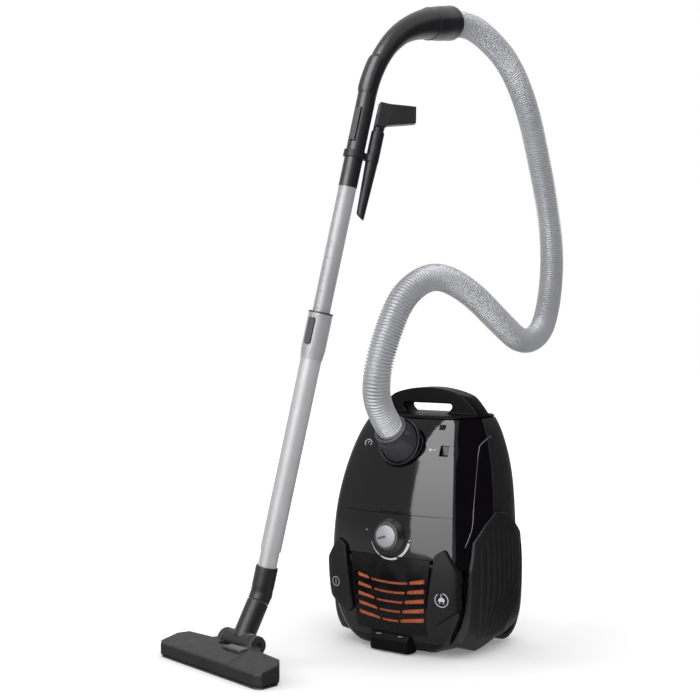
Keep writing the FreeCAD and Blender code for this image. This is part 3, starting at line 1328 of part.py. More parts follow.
# Floor nozzle: drawn about its drum's middle on the floor, x along its length and y backwards.

YAW = math.radians(NOZZLE_YAW)
BACK = math.radians(NECK_BACK_ANGLE)
NECK_AXIS = V(math.sin(YAW) * math.cos(BACK), math.cos(YAW) * math.cos(BACK), math.sin(BACK))
ELBOW = WAND_FOOT - WAND_DIRECTION * ELBOW_BELOW_FOOT
NECK_REACH = (ELBOW.z - DRUM_Z) / NECK_AXIS.z
DRUM_MIDDLE = ELBOW - NECK_AXIS * NECK_REACH
NOZZLE_PLACE = FreeCAD.Placement(V(DRUM_MIDDLE.x, DRUM_MIDDLE.y, 0), FreeCAD.Rotation(Z_AXIS, -NOZZLE_YAW))


def on_floor(shape):
    placed = shape.copy()
    placed.Placement = NOZZLE_PLACE.multiply(placed.Placement)
    return placed


def neck_point(below):
    """A place on the neck's axis, below the swivel joint's parting line."""
    return ELBOW - NECK_AXIS * (SWIVEL_DROP + below)


def neck_elbow():
    """The socket on the tube's neck, bent down to the swivel joint."""
    low = V(0, 0, -ELBOW_BELOW_FOOT)
    socket = fused([
        upright(SOCKET_OUTER, -SOCKET_DEPTH - 3, 0),
        cone(low, Z_AXIS, SWIVEL_RADIUS - 1, SOCKET_OUTER, ELBOW_BELOW_FOOT - SOCKET_DEPTH - 3),
    ])
    ball = Part.makeSphere(SWIVEL_RADIUS, ELBOW)
    socket = fused([on_wand(socket), ball, rod(ELBOW, NECK_AXIS * -1, SWIVEL_RADIUS - 0.5, SWIVEL_DROP)])
    bore = fused([
        on_wand(upright(NECK_RADIUS, -SOCKET_DEPTH, 1)),
        on_wand(upright(DUCT_RADIUS, -ELBOW_BELOW_FOOT, 0)),
        Part.makeSphere(DUCT_RADIUS, ELBOW),
        rod(ELBOW, NECK_AXIS * -1, DUCT_RADIUS, SWIVEL_DROP + 1),
    ])
    seat = rod(neck_point(-8), NECK_AXIS * -1, DUCT_RADIUS + 2 + RUNNING_CLEARANCE, 20)
    return socket.cut(bore).cut(seat)


def neck_lower():
    """The arm from the swivel joint down to the drum, with the drum's two pivots."""
    top = neck_point(-7.5)
    arm = fused([
        rod(top, NECK_AXIS * -1, DUCT_RADIUS + 2, 12),
        rod(neck_point(0.4), NECK_AXIS * -1, SWIVEL_RADIUS - 0.5, NECK_REACH - SWIVEL_DROP - 6),
    ])
    drum = fused([drum_round(DRUM_RADIUS, DRUM_LENGTH / 2), drum_round(PIVOT_RADIUS, DRUM_LENGTH / 2 + 8)])
    whole = fused([arm, on_floor(drum)])
    return whole.cut(rod(top + NECK_AXIS, NECK_AXIS * -1, DUCT_RADIUS - 2, NECK_REACH - 14))


def nozzle_outline(inset):
    """The nozzle's plan: straight front, swept ends and a deeper middle."""
    half = NOZZLE_LENGTH / 2 - inset
    front = -DRUM_SETBACK + inset
    end_back = -DRUM_SETBACK + NOZZLE_END_DEPTH - inset
    back = -DRUM_SETBACK + NOZZLE_MIDDLE_DEPTH - inset
    shift = DRUM_OFFSET
    left, right = shift - half, shift + half
    return [
        (left, front + 8), (left + 10, front), (right - 10, front), (right, front + 8),
        (right, end_back - 14), (right - 16, end_back), (shift + 62, end_back + 6), (46 - inset, back),
        (-46 + inset, back), (shift - 62, end_back + 6), (left + 16, end_back), (left, end_back - 14),
    ]


def plan_prism(points, z0, z1):
    corners = [V(x, y, z0) for x, y in points]
    return Part.Face(Part.makePolygon(corners + corners[:1])).extrude(V(0, 0, z1 - z0))


def hood_form(inset, z0):
    """The hood, rising from its front to its back edge."""
    block = plan_prism(nozzle_outline(inset), z0, 60)
    back_y = -DRUM_SETBACK + NOZZLE_END_DEPTH
    front_y = -DRUM_SETBACK - 1
    slope = [(front_y, NOZZLE_FRONT_HEIGHT - inset), (back_y, NOZZLE_BACK_HEIGHT - inset)]
    slope += [(40, NOZZLE_BACK_HEIGHT + 3 - inset), (40, 80), (front_y, 80)]
    return block.cut(prism(slope, "yz", -200, 200))


def drum_round(radius, half):
    """A round bar on the drum's axis."""
    return Part.makeCylinder(radius, 2 * half, V(-half, 0, DRUM_Z), X_AXIS)


def nozzle_body():
    """The hollow hood with the drum's two cheeks."""
    half = DRUM_LENGTH / 2 + 0.4
    hood = hood_form(0, SOLE_TOP)
    cheeks = []
    for low in (-half - CHEEK_WIDTH, half):
        cheeks.append(Part.makeCylinder(DRUM_RADIUS, CHEEK_WIDTH, V(low, 0, DRUM_Z), X_AXIS))
        cheeks.append(slab(low, -14, SOLE_TOP, low + CHEEK_WIDTH, 4 - WALL, DRUM_Z))
    hollow = hood_form(WALL, SOLE_TOP - 1)
    hollow = hollow.cut(slab(-DRUM_LENGTH / 2 - 20, -24, 0, DRUM_LENGTH / 2 + 20, 20, 60))
    body = fused([hood] + cheeks).cut(hollow).cut(drum_round(DRUM_RADIUS + 0.6, half))
    body = body.cut(slab(-half, -8, SOLE_TOP - 1, half, 60, DRUM_Z))
    body = body.cut(slab(-SWIVEL_RADIUS - 2, -DRUM_RADIUS - 14, DRUM_Z - 4, SWIVEL_RADIUS + 2, 60, 90))
    body = body.cut(drum_round(PIVOT_RADIUS + RUNNING_CLEARANCE, 100)).cut(slab(-10, -40, 20, 10, -12, 32))
    body = fused([body.cut(pedal_pocket())] + rocker_lugs()).cut(rocker_pin(RUNNING_CLEARANCE))
    return on_floor(largest(body))


def pedal_pocket():
    return slab(ROCKER_X - 0.5, ROCKER_Y - 10, 20, ROCKER_X + ROCKER_WIDTH + 0.5, ROCKER_Y + 10, 60)


def rocker_pin(gap):
    return along_x(ROCKER_Y, ROCKER_PIN_Z, ROCKER_X - 3, ROCKER_X + ROCKER_WIDTH + 3, PIN_RADIUS + gap)


def rocker_lugs():
    """The two lugs under the hood that carry the rocker's pin."""
    lugs = []
    for x in (ROCKER_X - 3.5, ROCKER_X + ROCKER_WIDTH + 0.5):
        lugs.append(slab(x, ROCKER_Y - 4, ROCKER_PIN_Z - 4, x + 3, ROCKER_Y + 4, ROCKER_PIN_Z + 4))
    return lugs


def nozzle_pedal():
    """The rocker on the hood that lowers the brush strip."""
    plate = slab(ROCKER_X, ROCKER_Y - 9, 31, ROCKER_X + ROCKER_WIDTH, ROCKER_Y + 9, 37)
    plate = plate.makeFillet(1.5, plate.Edges)
    rib = slab(ROCKER_X + 2, ROCKER_Y - 3, ROCKER_PIN_Z - 2.5, ROCKER_X + ROCKER_WIDTH - 2, ROCKER_Y + 3, 33)
    return on_floor(fused([plate, rib, rocker_pin(0)]))


def sole_plate():
    """The sole with its long suction slot and the hole for the brush strip."""
    sole = plan_prism(nozzle_outline(2), SOLE_TOP - SOLE_THICKNESS, SOLE_TOP - FIT_GAP)
    sole = sole.cut(slab(-96, -66, -1, 112, -54, 20))
    sole = sole.cut(slab(-108.7, BRUSH_Y - 2.2, -1, 124.7, BRUSH_Y + 2.2, 20))
    for x in (-ROLLER_X, ROLLER_X):
        sole = sole.cut(slab(x - 6.6, ROLLER_Y - 7.4, -1, x + 6.6, ROLLER_Y + 7.4, 20))
        for low in (x - 10, x + 7):
            sole = sole.fuse(slab(low, ROLLER_Y - 4, SOLE_TOP - 1, low + 3, ROLLER_Y + 4, ROLLER_RADIUS + 4))
    axle = along_x(ROLLER_Y, ROLLER_RADIUS, -100, 100, ROLLER_AXLE_RADIUS + RUNNING_CLEARANCE)
    sole = sole.cut(slab(-DRUM_LENGTH / 2 - 0.4, -10, 0, DRUM_LENGTH / 2 + 0.4, 30, 60)).cut(axle)
    return on_floor(largest(sole))


def brush_strip():
    """The bristle strip and its carrier, lowered by the pedal."""
    base = SOLE_TOP + BRUSH_RAISED
    carrier = slab(-110, BRUSH_Y - 4, base, 126, BRUSH_Y + 4, base + 6)
    bristles = slab(-108, BRUSH_Y - 1.5, BRUSH_LOW, 124, BRUSH_Y + 1.5, base + 1)
    return on_floor(fused([carrier, bristles]))


def nozzle_rollers():
    rollers = []
    for x in (-ROLLER_X, ROLLER_X):
        roller = along_x(ROLLER_Y, ROLLER_RADIUS, x - 6, x + 6, ROLLER_RADIUS)
        axle = along_x(ROLLER_Y, ROLLER_RADIUS, x - 10, x + 10, ROLLER_AXLE_RADIUS)
        rollers.append(on_floor(fused([roller, axle])))
    return Part.makeCompound(rollers)


# Every piece under its own name.

def make_nodes():
    control_panel, exhaust_door, dust_lid = front_panels()
    right_side = side_panel()
    right_cover = wheel_cover()
    right_wheel = wheel()
    right_pedal = pedal()
    return {
        "base_tray": base_tray(),
        "rear_shell": rear_shell(),
        "side_panel_right": right_side,
        "side_panel_left": mirrored(right_side),
        "control_panel": control_panel,
        "exhaust_door": exhaust_door,
        "dust_lid": dust_lid,
        "inlet_frame": inlet_frame(),
        "carry_handle": carry_handle(),
        "wheel_housings": wheel_housings(),
        "wheel_cover_right": right_cover,
        "wheel_cover_left": mirrored(right_cover),
        "wheel_right": right_wheel,
        "wheel_left": mirrored(right_wheel),
        "wheel_axles": wheel_axles(),
        "castor_fork": castor_fork(),
        "castor_wheel": castor_wheel(),
        "rubber_foot": rubber_foot(),
        "housing_screws": housing_screws(),
        "cord_outlet": cord_outlet(),
        "hinge_pins": hinge_pins(),
        "lid_latch": lid_latch(),
        "bag_flag": bag_flag(),
        "exhaust_foam": exhaust_foam(),
        "door_latch": door_latch(),
        "power_knob": power_knob(),
        "knob_face": knob_face(),
        "circuit_board": circuit_board(),
        "power_pedal": mirrored(right_pedal),
        "cord_pedal": right_pedal,
        "power_switch": power_switch(),
        "inner_deck": inner_deck(),
        "motor_housing": motor_housing(),
        "motor_rotor": motor_rotor(),
        "motor_seal": motor_seal(),
        "motor_filter": motor_filter(),
        "bag_holder": bag_holder(),
        "dust_bag": dust_bag(),
        "cord_drum": cord_drum(),
        "reel_frame": reel_frame(),
        "hose_connector": hose_connector(),
        "connector_button": connector_button(),
        "hose": hose(),
        "handle": handle(),
        "air_slider": air_slider(),
        "release_button": release_button(),
        "accessory_tool": accessory_tool(),
        "tool_clip": tool_clip(),
        "upper_tube": upper_tube(),
        "guide_bushes": guide_bushes(),
        "lower_tube": lower_tube(),
        "lock_sleeve": lock_sleeve(),
        "lock_button": lock_button(),
        "neck_elbow": neck_elbow(),
        "neck_lower": neck_lower(),
        "nozzle_body": nozzle_body(),
        "nozzle_pedal": nozzle_pedal(),
        "brush_strip": brush_strip(),
        "sole_plate": sole_plate(),
        "nozzle_rollers": nozzle_rollers(),
    }


for name, shape in make_nodes().items():
    state = "" if shape.isValid() and shape.Volume > 0 else "  BAD"
    print("%-20s %2d solids %9.1f cm3%s" % (name, len(shape.Solids), shape.Volume / 1000, state))
    shape.exportStep("parts/%s.step" % name)
print("hose length", round(HOSE_LENGTH, 1), "radii", [round(piece[3]) for piece in HOSE_PIECES if piece[3]])
print("cuff mouth", CUFF_MOUTH, CUFF_DIRECTION)
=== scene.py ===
"""A bagged canister vacuum cleaner, parked upright, with its ribbed hose, wand and floor nozzle."""
import json
import math

import bmesh
import bpy
from mathutils import Matrix, Vector, noise
from mathutils.bvhtree import BVHTree


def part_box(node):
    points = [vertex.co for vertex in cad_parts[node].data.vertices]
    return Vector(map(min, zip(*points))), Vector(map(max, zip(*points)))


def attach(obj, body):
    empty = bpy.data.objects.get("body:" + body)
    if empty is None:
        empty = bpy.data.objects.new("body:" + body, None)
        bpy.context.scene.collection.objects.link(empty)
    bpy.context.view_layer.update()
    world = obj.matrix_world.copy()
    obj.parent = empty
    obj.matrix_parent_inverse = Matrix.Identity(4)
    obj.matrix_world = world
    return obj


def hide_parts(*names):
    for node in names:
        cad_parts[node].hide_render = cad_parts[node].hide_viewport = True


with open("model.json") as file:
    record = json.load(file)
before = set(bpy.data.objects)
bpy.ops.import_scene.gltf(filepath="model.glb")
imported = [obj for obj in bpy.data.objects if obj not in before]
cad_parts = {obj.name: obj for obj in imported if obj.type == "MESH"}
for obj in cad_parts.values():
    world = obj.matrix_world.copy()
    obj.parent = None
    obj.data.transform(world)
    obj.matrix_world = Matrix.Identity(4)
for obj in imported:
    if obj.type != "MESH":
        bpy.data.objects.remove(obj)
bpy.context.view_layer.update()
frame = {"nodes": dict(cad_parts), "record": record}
NODES = frame["nodes"]

# Camera: where it stands, how it is turned and its lens in millimetres.
EYE = Vector((1.112, -1.810, 0.559))
CAMERA_TURN = math.radians(35)
CAMERA_DIP = math.radians(1.2)
LENS = 61.7

# Hose: its route, its size and its ribs, in metres.
HOSE_ROUTE = [
    (0, -0.0811, 0.3638), (0, -0.1431, 0.4158), (0.014, -0.168, 0.478), (0.026, -0.146, 0.556),
    (0.040, -0.120, 0.614), (0.053, -0.044, 0.648), (0.061, 0.060, 0.620), (0.066, 0.160, 0.567),
    (0.063, 0.262, 0.522), (0.055, 0.362, 0.540), (0.042, 0.428, 0.610), (0.027, 0.472, 0.706),
    (0.015, 0.474, 0.800), (0.010, 0.440, 0.900), (0.007, 0.394, 1.000), (0.006, 0.318, 1.075),
    (0.007, 0.218, 1.108), (0.0028, 0.1438, 1.1187), (0, 0.0638, 1.1017),
]
HOSE_RADIUS = 0.0235
HOSE_ROOT_RADIUS = 0.0206
HOSE_BORE_RADIUS = 0.019
HOSE_RIB_PITCH = 0.0053
HOSE_PLAIN_END = 0.036
HOSE_PLAIN_SINK = 0.0006
HOSE_BORE_STEPS = 180
HOSE_SIDES = 36
HOSE_PROFILE = [(0.0, 1.0), (0.32, 1.0), (0.45, 0.2), (0.58, 0.0), (0.74, 0.0), (0.87, 0.2)]
# The profile rows in each groove that take the hose's darker second material: painted shade in the grooves.
HOSE_PAINTED_SHADE_ROWS = (0, 1, 5)

# Axes, and the wand's foot and direction.
X_AXIS = Vector((1, 0, 0))
FORWARD = Vector((0, 1, 0))
WAND_FOOT = Vector((-0.1533, -0.2453, 0.1543))
WAND_AXIS = Vector((0.1583, 0.1358, 0.9780)).normalized()
WAND_Y = (FORWARD - WAND_AXIS * WAND_AXIS.y).normalized()
WAND_X = WAND_Y.cross(WAND_AXIS)

# Wand: its notches, the top of its lock sleeve, the bend of its handle, the air slider on it and its rings.
TUBE_RADIUS = 0.015
NOTCH_COUNT = 6
NOTCH_FIRST = 0.449
NOTCH_PITCH = 0.0195
NOTCH_HEIGHT = 0.0026
NOTCH_SPREAD = math.radians(20)
SLEEVE_TOP = 0.434
SLEEVE_RADIUS = 0.0205
BEND_START = 0.805
BEND_RADIUS = 0.170
SLIDER_START = math.radians(1.5)
SLIDER_END = math.radians(23.5)
SLIDER_SPREAD = math.radians(62)
SLIDER_LIFT = 0.0026
WAND_RING = 0.0034
CUFF_RING = (0.0036, 0.0044)
CUFF_EDGE = Vector((-0.0018, 0.024, 1.0895))
CUFF_AXIS = Vector((0.034, 0.977, 0.208)).normalized()

# Studio: the light all round, the floor's own glow where it is seen, and the bright window's edges by height.
WORLD_LIGHT = 0.66
FLOOR_GLOW = {"From Min": 0.15, "From Max": 1.3, "To Min": 0.17, "To Max": 0.5}
WINDOW_GLOW = 13
WINDOW_LOW_GLOW = 8.5
WINDOW_Y = -1.6
WINDOW_LOW = 0.05
WINDOW_HIGH = 5.95
WINDOW_LEFT = -0.71
WINDOW_LEFT_SPREAD = 0.09
WINDOW_RIGHT = 0.26
WINDOW_RIGHT_SPREAD = 0.17

# Accessory tool: its middle beside the wand, and its flat head, which reaches outwards.
TOOL_X = 0.0230
TOOL_Y = 0.0207
TOOL_OUT = (WAND_X * 0.73 + WAND_Y * 0.683).normalized()
HEAD_TOP = 0.803
HEAD_BOTTOM = 0.754
HEAD_START = 0.010
HEAD_LENGTH = 0.058
HEAD_THINNING = (0.10, 0.26)
HEAD_RISE = 0.11
HEAD_SLANT = 0.16
HEAD_SHORTENING = 0.008
HEAD_TAPER = 0.14

# Carry handle: its arch is highest in the middle and falls to its shoulders.
ARCH_TOP = 0.448
ARCH_FALL = 2.5

# Wheel covers: grooves that run together towards the floor.
FLUTE_PITCH = 0.0165
FLUTE_FIRST = -0.050
FLUTE_COUNT = 9
FLUTE_MEETING = -0.045
FLUTE_CLOSING = 0.42
FLUTE_DEPTH = 0.0034
FLUTE_HALF_WIDTH = 0.0031
FLUTE_TOP = 0.215
FLUTE_BOTTOM = 0.030
FLUTE_BEND_TOP = 0.110
FLUTE_BEND_HEIGHT = 0.070
FLUTE_CROWN_Y = 0.010
FLUTE_CROWN_HALF = 0.030
FLUTE_CROWN_SLOPE = 0.9
FLUTE_FADE = 0.008

# Front: the knob and its scale, the hose inlet, the trim, the signs, and the latch's light dashes, which are
# painted highlights, by x and z.
KNOB_MIDDLE = Vector((0, -0.10565, 0.20005))
KNOB_AXIS = Vector((0, -0.9954, 0.0958))
KNOB_HEIGHT = 0.011
DOOR_TOP = 0.1661
PANEL_BOTTOM = 0.1669
SCALE_RADIUS = 0.0375
SCALE_START = math.radians(200)
SCALE_END = math.radians(347)
SCALE_WIDTH = (0.0006, 0.0052)
POINTER_SIZE = (0.0165, 0.0010, 0.0036)
POINTER_LEAN = math.radians(18)
POWER_SIGN = (-0.1103, 0.1098)
CORD_SIGN = (0.1045, 0.1040)
INLET = Vector((0, -0.07489, 0.35857))
INLET_NORMAL = Vector((0, -0.9703, 0.2419))
INLET_RING = (0.0395, 0.0060, 0.0045)
TRIM_LINE = [(0.029, 0.366), (-0.004, 0.356), (-0.014, 0.345), (-0.035, 0.300),
             (-0.050, 0.255), (-0.056, 0.222), (-0.066, 0.203), (-0.078, 0.189)]
TRIM_RADIUS = 0.0008
HOSE_SIGN = (-0.0705, 0.3500)
BAG_SIGN = (0.0600, 0.3470)
SIGN_LINE = 0.0012
LATCH_PAINTED_HIGHLIGHT = (0.0216, 0.0305)

# Floor nozzle: where its drum stands, how far it is turned, its top panel and its brush.
NOZZLE_MIDDLE = Vector((-0.1697, -0.29325, 0))
NOZZLE_TURN = math.radians(-12)
PANEL_OUTLINE = [(-0.092, -0.080), (-0.064, -0.033), (0.056, -0.033), (0.067, -0.080)]
PANEL_RISE = 0.0009
BRUSH_MIDDLE = Vector((0.008, -0.0425, 0.0083))
BRUSH_SIZE = (0.236, 0.008, 0.006)
TUFT_COUNT = 66
TUFT_FIRST = -0.107
TUFT_SPAN = 0.230

BODY_OF = {node: body for body, nodes in frame["record"]["behaviour"]["bodies"].items() for node in nodes}


# Small helpers.

def only(piece):
    """Selects this piece and nothing else."""
    bpy.ops.object.select_all(action="DESELECT")
    piece.select_set(True)
    bpy.context.view_layer.objects.active = piece
    return piece


def new_piece(name, mesh):
    piece = bpy.data.objects.new(name, mesh)
    bpy.context.scene.collection.objects.link(piece)
    return piece


def dress(piece, material):
    """Gives a piece one material all over."""
    piece.data.materials.clear()
    piece.data.materials.append(material)
    return piece


def piece_from(name, mesh):
    """Turns edited mesh faces into a piece."""
    data = bpy.data.meshes.new(name)
    mesh.to_mesh(data)
    mesh.free()
    return new_piece(name, data)


def stand_for(piece, node):
    """Puts a piece in a node's place: on its body, with the node hidden."""
    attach(piece, BODY_OF[node])
    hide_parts(node)
    return piece


def in_edit_mode(piece, operator, **values):
    """Runs one mesh operator on all of a piece."""
    only(piece)
    bpy.ops.object.mode_set(mode="EDIT")
    bpy.ops.mesh.select_all(action="SELECT")
    operator(**values)
    bpy.ops.object.mode_set(mode="OBJECT")
    return piece


def apply_modifier(piece, kind, **values):
    """Adds a modifier, sets it and applies it."""
    only(piece)
    modifier = piece.modifiers.new(kind.lower(), kind)
    for name, value in values.items():
        setattr(modifier, name, value)
    bpy.ops.object.modifier_apply(modifier=modifier.name)
    return piece


def merged_copy(node):
    """A copy of a node's mesh with its doubled corners merged, which takes the node's place."""
    piece = new_piece(node + "_finished", NODES[node].data.copy())
    in_edit_mode(piece, bpy.ops.mesh.remove_doubles, threshold=0.00001)
    return stand_for(piece, node)


def moulded_copy(node, finish, grain, rounds):
    """A copy of a node with every edge rounded as a mould rounds it."""
    piece = dress(merged_copy(node), finish)
    apply_modifier(piece, "REMESH", mode="VOXEL", voxel_size=grain)
    apply_modifier(piece, "SMOOTH", factor=0.5, iterations=rounds)
    bpy.ops.object.shade_smooth()
    return piece


def bevelled_copy(node, finish, width, segments=3, angle=35):
    """A copy of a node with its sharp edges bevelled."""
    piece = dress(merged_copy(node), finish)
    apply_modifier(piece, "BEVEL", width=width, segments=segments, limit_method="ANGLE",
                   angle_limit=math.radians(angle), use_clamp_overlap=True)
    bpy.ops.object.shade_smooth_by_angle(angle=math.radians(35))
    return piece


def surface_of(*pieces):
    """A search tree over the faces of one or more pieces."""
    mesh = bmesh.new()
    for piece in pieces:
        mesh.from_mesh(piece.data)
    tree = BVHTree.FromBMesh(mesh)
    mesh.free()
    return tree


def touch(tree, place, direction):
    """Where a line through a place first meets a surface."""
    return tree.ray_cast(place - direction * 0.2, direction)[0]


def drape(piece, tree, direction, lift):
    """Lays a flat piece on a surface, a little proud of it."""
    for vertex in piece.data.vertices:
        hit = touch(tree, vertex.co, direction)
        if hit:
            vertex.co = hit - direction * lift
    return piece


def flat_piece(name, outlines):
    """Thin flat shapes in the x and z plane, each given by rows of points that are skinned together."""
    mesh = bmesh.new()
    for rows in outlines:
        grid = [[mesh.verts.new((x, 0, z)) for x, z in row] for row in rows]
        for low, high in zip(grid, grid[1:]):
            for number in range(len(low) - 1):
                mesh.faces.new((low[number], low[number + 1], high[number + 1], high[number]))
    return piece_from(name, mesh)


def band(middle, radius, width, start, end, steps=48, end_width=None):
    """Rows of points for a round band, which may grow wider towards its end."""
    x, z = middle
    inner, outer = [], []
    for number in range(steps + 1):
        share = number / steps
        angle = start + (end - start) * share
        wide = width + ((end_width or width) - width) * share
        for row, reach in ((inner, radius), (outer, radius + wide)):
            row.append((x + reach * math.cos(angle), z + reach * math.sin(angle)))
    return [inner, outer]


def bar(x0, z0, x1, z1, width, steps=6):
    """Rows of points for a straight bar from one place to another."""
    along = Vector((x1 - x0, z1 - z0))
    side = Vector((-along.y, along.x)).normalized() * width / 2
    low, high = [], []
    for number in range(steps + 1):
        here = Vector((x0, z0)) + along * number / steps
        low.append(tuple(here - side))
        high.append(tuple(here + side))
    return [low, high]


def printed(name, outlines, tree, body, finishes, finish="print_pale", above=None, below=None):
    """A sign printed on a front surface, cut off above or below a height where that surface ends."""
    sign = flat_piece(name, outlines)
    for height, upwards in ((above, 1), (below, -1)):
        if height:
            mesh = bmesh.new()
            mesh.from_mesh(sign.data)
            bmesh.ops.bisect_plane(mesh, geom=mesh.verts[:] + mesh.edges[:] + mesh.faces[:], clear_inner=True,
                                   plane_co=(0, 0, height), plane_no=(0, 0, upwards))
            mesh.to_mesh(sign.data)
            mesh.free()
    drape(sign, tree, FORWARD, 0.0002)
    apply_modifier(sign, "SOLIDIFY", thickness=0.00015, offset=0)
    in_edit_mode(sign, bpy.ops.mesh.normals_make_consistent, inside=False)
    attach(sign, body)
    return dress(sign, finishes[finish])


def smooth_curve(name, points):
    """A smooth spline that has these points as its control points."""
    curve = bpy.data.curves.new(name, "CURVE")
    curve.dimensions = "3D"
    spline = curve.splines.new("NURBS")
    spline.points.add(len(points) - 1)
    for point, place in zip(spline.points, points):
        point.co = (*place, 1)
    spline.order_u = 3
    spline.use_endpoint_u = True
    return curve


def mesh_of(curve):
    """The mesh that a curve makes, with its bevel if it has one."""
    line = new_piece(curve.name, curve)
    bpy.context.view_layer.update()
    mesh = bpy.data.meshes.new_from_object(line.evaluated_get(bpy.context.evaluated_depsgraph_get()))
    bpy.data.objects.remove(line)
    return mesh


# Finishes.

SOCKET_NAMES = {"specular_IOR_level": "Specular IOR Level"}


class Finish:
    """A material built from one shader, with noise laid over its colour, roughness and surface."""

    def __init__(self, name, color, roughness, **sockets):
        self.material = bpy.data.materials.new(name)
        self.material.use_nodes = True
        self.tree = self.material.node_tree
        self.shader = self.tree.nodes["Principled BSDF"]
        self.color = color
        self.roughness = roughness
        self.shader.inputs["Base Color"].default_value = (*color, 1)
        self.shader.inputs["Roughness"].default_value = roughness
        for socket, value in sockets.items():
            self.shader.inputs[SOCKET_NAMES.get(socket, socket.capitalize())].default_value = value
        self.place = self.node("ShaderNodeTexCoord").outputs["Object"]
        self.height = None

    def node(self, kind, **values):
        made = self.tree.nodes.new(kind)
        for name, value in values.items():
            setattr(made, name, value)
        return made

    def link(self, start, end):
        self.tree.links.new(start, end)

    def noise(self, scale, detail=2.0, stretch=None, turn=(0, 0, 0)):
        """Noise with so many grains to the metre, drawn out where stretch is under 1."""
        texture = self.node("ShaderNodeTexNoise")
        texture.inputs["Scale"].default_value = scale
        texture.inputs["Detail"].default_value = detail
        place = self.place
        if stretch:
            mapping = self.node("ShaderNodeMapping", vector_type="TEXTURE")
            mapping.inputs["Rotation"].default_value = turn
            mapping.inputs["Scale"].default_value = [1 / s for s in stretch]
            self.link(place, mapping.inputs["Vector"])
            place = mapping.outputs["Vector"]
        self.link(place, texture.inputs["Vector"])
        return texture.outputs["Fac"]

    def spread(self, value, low, high):
        """Maps the middle of a noise onto a range."""
        ramp = self.node("ShaderNodeMapRange")
        ramp.inputs["From Min"].default_value = 0.3
        ramp.inputs["From Max"].default_value = 0.7
        ramp.inputs["To Min"].default_value = low
        ramp.inputs["To Max"].default_value = high
        self.link(value, ramp.inputs["Value"])
        return ramp.outputs["Result"]

    def tint(self, value, other):
        """Lets a noise mix a second colour into the base colour."""
        mix = self.node("ShaderNodeMix", data_type="RGBA")
        mix.inputs["A"].default_value = (*self.color, 1)
        mix.inputs["B"].default_value = (*other, 1)
        self.link(self.spread(value, 0, 1), mix.inputs["Factor"])
        self.link(mix.outputs["Result"], self.shader.inputs["Base Color"])
        return self

    def rough(self, value, by):
        """Lets a noise vary the roughness up and down by an amount."""
        varied = self.spread(value, max(0.02, self.roughness - by), min(1, self.roughness + by))
        self.link(varied, self.shader.inputs["Roughness"])
        return self

    def bump(self, value, depth, strength=1.0):
        """Lets a pattern raise the surface by a depth in metres."""
        raised = self.node("ShaderNodeBump")
        raised.inputs["Strength"].default_value = strength
        raised.inputs["Distance"].default_value = depth
        self.link(value, raised.inputs["Height"])
        if self.height:
            self.link(self.height, raised.inputs["Normal"])
        self.height = raised.outputs["Normal"]
        self.link(self.height, self.shader.inputs["Normal"])
        return self


def moulded(name, color, roughness, grain=1400, depth=0.00006, **sockets):
    """Moulded plastic with a spark-eroded grain and a little unevenness in its shade."""
    finish = Finish(name, color, roughness, **sockets)
    finish.tint(finish.noise(9, 3), [c * 1.18 for c in color])
    finish.rough(finish.noise(60, 4), roughness * 0.12)
    finish.bump(finish.noise(grain, 2), depth, 0.6)
    return finish.material


def polished(name, color, roughness, **sockets):
    """Glossy plastic with the faintest waviness and a breath of haze."""
    finish = Finish(name, color, roughness, **sockets)
    finish.tint(finish.noise(5, 2), [c * 1.3 for c in color])
    finish.rough(finish.noise(35, 5), roughness * 0.35)
    finish.bump(finish.noise(24, 1), 0.00003, 0.25)
    return finish.material


def drawn_metal(name, color, roughness, turn=(0, 0, 0), stretch=(1, 1, 0.02)):
    """Metal with fine lines drawn along it."""
    finish = Finish(name, color, roughness, metallic=1.0)
    finish.tint(finish.noise(30, 3), [c * 0.9 for c in color])
    finish.rough(finish.noise(700, 3, stretch, turn), roughness * 0.3)
    finish.bump(finish.noise(1800, 2, stretch, turn), 0.00001, 0.35)
    return finish.material


def satin(name, color, roughness, turn=(0, 0, 0), stretch=(1, 1, 1)):
    """Silver paint or anodising: mostly matt, with a little metal in it and fine lines along it."""
    finish = Finish(name, color, roughness, metallic=0.07, specular_IOR_level=0.3)
    finish.tint(finish.noise(30, 3), [c * 0.92 for c in color])
    finish.rough(finish.noise(700, 3, stretch, turn), roughness * 0.2)
    finish.bump(finish.noise(1800, 2, stretch, turn), 0.00001, 0.35)
    return finish.material


